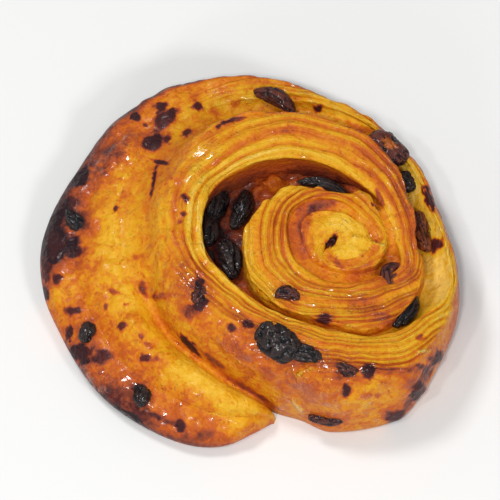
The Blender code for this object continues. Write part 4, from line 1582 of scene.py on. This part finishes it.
    def bake(self, s: Sections, zone: Carried, height: np.ndarray) -> np.ndarray:
        """Browns the surface: each zone by its table, and darkens the pocket's wall, partly caramelised brown
        and partly painted shade that deepens with its depth.

        Args:
            s: the sections' measures.
            zone: the weight of each zone.
            height: the surface's heights.

        Returns:
            How brown each point is.
        """
        columns = np.concatenate(read(BAKES, s.angle[:, 0]), axis=1)
        share = np.broadcast_to(np.minimum(zone["share"], 3.999), height.shape)
        low = share.astype(int)
        part = share - low
        sections = np.arange(len(columns))[:, None]
        brown = columns[sections, low] * (1 - part) + columns[sections, low + 1] * part
        opened = eased((s.angle - self.pocket[0]) / self.pocket_blend)
        pocket = opened * eased((self.pocket[1] - s.angle) / self.pocket_blend)
        depth = np.clip((s.inner_z - height) / self.pocket_depth, 0, 1)
        # painted shade: the pocket's wall is darker the deeper it lies
        return brown + zone["wall"] * pocket * (self.pocket_brown_and_shade + self.pocket_depth_shade * depth)

    def wrinkles(self, points: np.ndarray, zone: Carried, s: Sections) -> np.ndarray:
        """The skin's lumps and creases, in millimetres.

        Args:
            points: the surface's points.
            zone: the weight of each zone.
            s: the sections' measures.

        Returns:
            How far they push the points out.
        """
        rough = 1 + self.rough * eased((self.rough_until - s.angle) / self.rough_blend)
        lumps = self.lumps.at(points) + rough * self.bumps.at(points)
        crease = self.crease_depth * rough * (self.crease_middle - np.abs(self.creases.at(points)))
        skin = zone["skin"] + zone["top"] * (1 - 0.8 * s.layers)
        fade = np.clip(4 - zone["share"], 0, 1)
        return (lumps + crease) * skin * fade + self.wall_lumps.at(points) * zone["wall"]


@dataclass(frozen=True)
class Custard:
    """The custard in the groove between the turns, and the dough's seam where they have grown together."""

    coil: Coil
    start: float = -496.0
    end: float = 607.5
    start_blend: float = 14.0
    end_blend: float = 6.0
    stations: int = 1000
    close_stations: int = 4000
    columns: int = 30
    sink: float = 0.45  # how far it goes into the dough on both sides
    overlap: float = 1.2  # and how much farther where it lies level with the dough
    depth: float = 3.0
    drop: float = 0.2
    least_height: float = 0.3
    least_foot: float = 0.2
    level_bulge: float = 1.8
    hollow_power: float = 1.8
    lumps: tuple[Grain, Grain] = (Grain(31, 4.4, 0.42), Grain(32, 1.9, 0.30))
    narrow: float = 3.0  # grooves narrower than this have smaller lumps
    seam_shade: float = 0.05  # painted shade: how much darker than the dough beside it the seam is

    def angles(self) -> np.ndarray:
        """The sections' angles, evenly spaced along the groove."""
        close = np.linspace(self.start, self.end, self.close_stations)
        return evenly(close, read(GROOVES, close)[0][:, 0] + 2.0, self.stations)

    @staticmethod
    def skin_radius(s: Sections, height: np.ndarray) -> np.ndarray:
        """How far out the inner turn's skin is at a height."""
        share = np.clip((height - s.low_z) / (s.outer_z - s.low_z), 0, 1)
        return s.outer + (s.low - s.outer) * np.sqrt(1 - share**2)

    def wall_radius(self, s: Sections, height: np.ndarray) -> np.ndarray:
        """How far out the outer turn's wall or rounded rim is at a height.

        Args:
            s: the outer turn's sections.
            height: one height a section.

        Returns:
            The radii.
        """
        rounding = self.coil.rounding(s)
        spring = s.inner_z - rounding
        climb = np.clip((height - s.floor) / (spring - s.floor), 0, 1)
        over = np.clip((height - spring) / rounding, 0, 0.95)
        return s.foot + climb * (s.inner - s.foot) + rounding * (1 - np.sqrt(1 - over**2))

    def shape(self, ground: Ground) -> Surface:
        """Draws the ribbon of custard and bakes it.

        Args:
            ground: the finished dough.

        Returns:
            The ribbon.
        """
        angle = self.angles()
        middle, width, level = read(GROOVES, angle)[:3]
        inner, outer, flat, brown, lumps, ball = read(FILLS, angle)
        low, high = level - self.drop + inner, level - self.drop + outer
        sink = self.sink + self.overlap * flat
        left = self.skin_radius(self.coil.sections(angle), low) - sink
        right = self.wall_radius(self.coil.sections(angle + 360), high) + sink
        t = np.linspace(0, 1, self.columns)[None, :]
        hollow = inner * (1 - t) ** 3 + outer * t**self.hollow_power
        even = inner + t * (outer - inner) + self.level_bulge * t * (1 - t)
        height = level - self.drop + (1 - flat) * hollow + flat * even
        radius = left + t * (right - left)
        grown = np.clip(ball, 0, 1)
        course = [angle, middle[:, 0], level[:, 0], ball[:, 0]]
        seams = ground.seam(course, np.concatenate((left, right), axis=1), t[0])
        radius = radius + grown * (seams[0] - radius)
        height = height + grown * (seams[1] - height)
        turned = angle[:, None]
        begun = eased((turned - self.start) / self.start_blend)
        ends = 1 - begun * eased((self.end - turned) / self.end_blend)
        top = self.coil.placed(turned, radius, height - 2 * self.depth * ends)
        rough = sum(grain.at(top) for grain in self.lumps) * lumps * np.minimum(1.0, width / self.narrow)
        top[..., 2] = np.maximum(top[..., 2] + rough, self.least_height)
        feet = top[:, [0, -1]].copy()
        deep = np.min(top[..., 2], axis=1, keepdims=True) - self.depth
        feet[..., 2] = np.maximum(deep, self.least_foot)
        points = np.concatenate((feet[:, :1], top, feet[:, 1:]), axis=1)
        inner_bake, outer_bake = read(BAKES, angle), read(BAKES, angle + 360)
        across = np.clip(np.linspace(-1 / (self.columns - 1), 1, self.columns + 2), 0, 1)[None, :]
        dough = (1 - across) * 0.5 * (inner_bake[3] + inner_bake[4]) + across * outer_bake[0]
        # painted shade: the seam where the turns have grown together is darker
        tone = (brown + grown * (self.seam_shade + dough - brown)).reshape(-1)
        carried = {key: np.zeros(len(tone)) for key in ("cut", "ply", "along", "furrow")}
        carried |= {"brown": tone, "glaze": np.ones(len(tone))}
        flat_points, out = points.reshape(-1, 3), normals(points).reshape(-1, 3)
        faces = wrap_faces(*points.shape[:2])
        return Surface("custard_filling", flat_points, faces, out, np.ones(len(tone)), carried)


@dataclass(frozen=True)
class Raisin:
    """One raisin: its node, its place from the pole, its size, how it lies and its skin."""

    node: str
    place: tuple[float, float, float]
    size: tuple[float, float, float]
    turns: tuple[float, float, float]  # yaw, pitch, roll
    bend: float
    skin: Ripeness = Ripeness.BLACK
    crumb: float = 0.0  # how much of it a baked-on crumb covers
    dent: float = 0.6  # how far the dough sinks round it
    taper: float = 0.8  # over 1 for pointed ends
    grain: float = 0.75  # 1.3 for lumps, less for creases that run lengthwise
    rings: int = 60
    around: int = 56
    furrow: float = 0.30
    pole_gap: float = 0.02  # radians that the end rings keep from the tips
    ring_width: float = 0.7  # of the darker ring round it
    ring_brown: float = 0.16
    ring_wet: float = 0.3
    warp: Grain = Grain(41, 0.9, 0.45)
    folds: Grain = Grain(42, 0.60)
    fine_folds: Grain = Grain(43, 0.26)
    lumps: Grain = Grain(44, 0.9, 0.26)
    limits: Band = (0.55, 1.14)  # of its radius, for a plain oval's at 1

    def mark(self, shot: Shot) -> Mark:
        """The dent and the darker ring that it leaves in what it lies on.

        Args:
            shot: the photograph's camera.

        Returns:
            The mark.
        """
        middle = np.array(self.place) + np.array(POLE)
        across, down = shot.seen(middle[None, :])
        yaw = math.radians(self.turns[0])
        slant = math.sin(math.radians(shot.elevation))
        turn = math.degrees(math.atan2(math.sin(yaw) * slant, math.cos(yaw)))
        length, width = (0.5 * size + self.ring_width for size in self.size[:2])
        looks = (turn, self.ring_brown, 0.0, self.ring_wet, -self.dent)
        return Mark(across[0], down[0], length, width, *looks)

    def build(self) -> bpy.types.Object:
        """Builds the piece: a bent, furrowed oval."""
        seed = sum(map(ord, self.node))
        length, width, height = (0.5 * size for size in self.size)
        turn = np.linspace(self.pole_gap, math.pi - self.pole_gap, self.rings)[:, None]
        side = np.linspace(0, 2 * math.pi, self.around, endpoint=False)[None, :]
        along = -np.cos(turn) + 0 * side
        full = np.sin(turn) ** self.taper
        shape = np.stack((along, full * np.cos(side), full * np.sin(side)), axis=-1)
        drawn = shape * np.array((self.grain, 2.2, 1.6)) + seed
        drawn = drawn + self.warp.at(drawn)[..., None]
        crease = np.clip(1.0 - 3.0 * np.abs(self.folds.at(drawn)), 0, 1)
        fine = 1 - np.clip(3 * np.abs(self.fine_folds.at(drawn)), 0, 1)
        out = 1.04 - self.furrow * crease**1.3 - 0.10 * fine + self.lumps.at(shape * 1.1 + 3 * seed)
        out = np.clip(out, *self.limits)
        x = length * along * (0.98 + 0.02 * out)
        y = width * shape[..., 1] * out + self.bend * width * along * along
        points = np.stack((x, y, height * shape[..., 2] * out), axis=-1).reshape(-1, 3)
        yaw, pitch, roll = self.turns
        matrix = np.array(Euler([math.radians(a) for a in (roll, pitch, yaw)]).to_matrix())
        points = points @ matrix.T + np.array(self.place) + np.array(POLE)
        stuck = self.crumb * np.exp(-3.0 * (along**2 + shape[..., 1] ** 2))
        # the crease, which pushes the skin in, also paints shade into the folds
        carried = {"crease": 0.75 - crease, "crumb": stuck}
        faces = wrap_faces(self.rings, self.around)
        return to_object(self.node.replace("raisin", "dried_raisin"), points, faces, carried)


BLACK, PLUM, RUSSET = Ripeness
RAISINS = (
    Raisin("raisin_top", (-15.2, 47.4, 18.0), (13.6, 5.6, 5.0), (-31, 2, 10), -0.5, PLUM,
           taper=1.15, furrow=0.20, grain=0.5),
    Raisin("raisin_rim", (15.4, 30.6, 20.0), (12.8, 8.8, 6.6), (-39, 2, -14), 0.1, PLUM, 0.9),
    Raisin("raisin_rim_small", (20.6, 21.8, 17.2), (6.6, 5.0, 4.6), (-62, 0, 0), 0.2),
    Raisin("raisin_right", (24.4, 6.6, 16.9), (12.8, 5.4, 4.6), (-76, 0, 10), 0.3, RUSSET),
    Raisin("raisin_seam", (20.7, -19.4, 21.6), (13.0, 5.0, 4.6), (63, 8, 0), 0.5, taper=0.9),
    Raisin("raisin_core", (16.0, -9.4, 24.7), (8.0, 6.2, 4.6), (60, 6, 0), -0.6, PLUM, 0.5, 0.2),
    Raisin("raisin_pocket_back", (-31.8, 16.6, 15.2), (11.0, 6.0, 5.0), (80, 0, 12), 0.1),
    Raisin("raisin_pocket_left", (-33.8, 8.4, 14.8), (10.4, 6.0, 4.8), (92, 0, 0), 0.2),
    Raisin("raisin_pocket_mid", (-24.8, 13.8, 15.8), (13.2, 6.0, 6.0), (72, 6, -10), 0.2, taper=1.0),
    Raisin("raisin_pocket_front", (-28.2, -1.2, 16.0), (12.0, 6.6, 6.2), (-78, 4, 0), -0.1),
    Raisin("raisin_pocket_low", (-34.3, -0.4, 14.4), (5.4, 3.8, 3.8), (-78, 0, 0), 0.1),
    Raisin("raisin_pocket_rim", (-2.2, 18.2, 23.2), (14.8, 3.4, 4.0), (-15, 4, 0), -0.7, taper=1.1),
    Raisin("raisin_band", (-15.2, -31.0, 26.2), (13.4, 10.6, 6.0), (-32, 0, 14), 0.1,
           furrow=0.36, grain=1.2),
    Raisin("raisin_band_tail", (-7.0, -34.2, 25.7), (11.6, 5.2, 4.0), (-16, 0, 10), -0.3, taper=1.2),
    Raisin("raisin_coil", (-12.2, -16.4, 26.9), (7.0, 4.4, 3.4), (-8, 0, 0), -0.5, PLUM, 0.5, 0.2),
    Raisin("raisin_band_small", (3.7, -38.8, 25.5), (7.4, 4.4, 3.6), (-20, 4, 10), 0.3, PLUM),
    Raisin("raisin_skin", (-36.2, -16.6, 25.9), (6.2, 4.4, 3.6), (70, 0, 8), 0.1, PLUM),
    Raisin("raisin_lobe_left", (-70.4, 11.6, 11.6), (10.2, 5.0, 4.2), (-36, 12, 0), 0.5,
           dent=-0.1, taper=1.1),
    Raisin("raisin_lobe_low", (-67.4, -21.2, 11.2), (6.2, 4.8, 4.0), (75, 0, 0), 0.1, BLACK, 0.3, -0.6),
    Raisin("raisin_lobe_front", (-52.2, -40.0, 10.8), (7.8, 5.0, 4.2), (98, 14, 0), 0.3, BLACK,
           0.3, -0.6, 0.9),
    Raisin("raisin_foot", (-1.4, -46.4, 8.6), (10.6, 3.6, 3.6), (-3, -2, 0), 0.3, PLUM),
)


@dataclass(frozen=True)
class Lamp:
    """One soft light, by where it stands from the pastry."""

    name: str
    place: tuple[float, float, float]
    size: float
    power: float

    def make(self, target: Vector) -> None:
        """Puts the light in the scene, turned to the pastry.

        Args:
            target: the pastry's middle, in metres.
        """
        data = bpy.data.lights.new(self.name, "AREA")
        data.size, data.energy = self.size, self.power
        lamp = bpy.data.objects.new(self.name, data)
        lamp.location = target + Vector(self.place)
        lamp.rotation_mode = "QUATERNION"
        lamp.rotation_quaternion = (-Vector(self.place)).to_track_quat("-Z", "Y")
        bpy.context.scene.collection.objects.link(lamp)


@dataclass(frozen=True)
class Studio:
    """The pale floor and the soft light."""

    floor_size: float = 6.0
    floor_colour: tuple[float, float, float] = (0.86, 0.86, 0.85)
    floor_roughness: float = 0.9
    world_colour: tuple[float, float, float] = (1.0, 1.0, 1.0)
    world_strength: float = 0.25
    lamps: tuple[Lamp, ...] = (
        Lamp("key", (-0.35, 0.28, 0.85), 0.20, 3.2),
        Lamp("fill", (0.48, -0.56, 0.66), 0.17, 2.5),
        Lamp("low", (-0.34, -0.82, 0.46), 0.13, 1.0),
        Lamp("flash", (-0.06, -0.46, 1.0), 0.08, 3.2),
        Lamp("flash_side", (-0.32, -0.36, 0.95), 0.07, 1.3),
    )

    def make(self, centre: Vector) -> None:
        """Makes the floor, the world and the lamps.

        Args:
            centre: the pastry's middle, in metres.
        """
        bpy.context.scene.view_settings.view_transform = "Standard"
        bpy.ops.mesh.primitive_plane_add(size=self.floor_size)
        floor = bpy.context.object
        floor.name = "floor"
        finish = {"Base Color": (*self.floor_colour, 1.0), "Roughness": self.floor_roughness}
        floor.data.materials.append(Graph("floor").finish(finish))
        floor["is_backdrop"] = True
        world = bpy.data.worlds.new("world")
        world.use_nodes = True
        background = world.node_tree.nodes["Background"]
        background.inputs["Color"].default_value = (*self.world_colour, 1.0)
        background.inputs["Strength"].default_value = self.world_strength
        bpy.context.scene.world = world
        for lamp in self.lamps:
            lamp.make(centre)


def finish_piece(piece: bpy.types.Object, material: bpy.types.Material, node: str) -> None:
    """Dresses a piece and ties it to the solids.

    Args:
        piece: the piece.
        material: its finish.
        node: the solid that it stands for.
    """
    piece.data.materials.append(material)
    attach(piece, BODY)
    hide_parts(node)
    LOG.info("%s: %d faces", piece.name, len(piece.data.polygons))


def main() -> None:
    """Builds the pastry and the studio."""
    logging.basicConfig(level=logging.INFO, format="%(name)s: %(message)s")
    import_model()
    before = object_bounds()
    coil, shot = Coil(), Shot()
    dough = Dough(coil)
    strip = dough.shape()
    filling = Custard(coil).shape(dough.ground(strip))
    Marks(shot).lay([strip, filling], [*MARKS, *(raisin.mark(shot) for raisin in RAISINS)])
    crust = BakedFinish("crust", mottle=1.0, glow=0.06)
    cream = BakedFinish("cream", mottle=0.8, glow=0.10)
    finish_piece(strip.make(), crust.make(), "dough")
    finish_piece(filling.make(), cream.make(), "custard")
    skins = {ripeness: RaisinFinish(ripeness).make() for ripeness in Ripeness}
    for raisin in RAISINS:
        finish_piece(raisin.build(), skins[raisin.skin], raisin.node)
    shot.make()
    Studio().make((before[0] + before[1]) / 2)


if __name__ == "__main__":
    main()
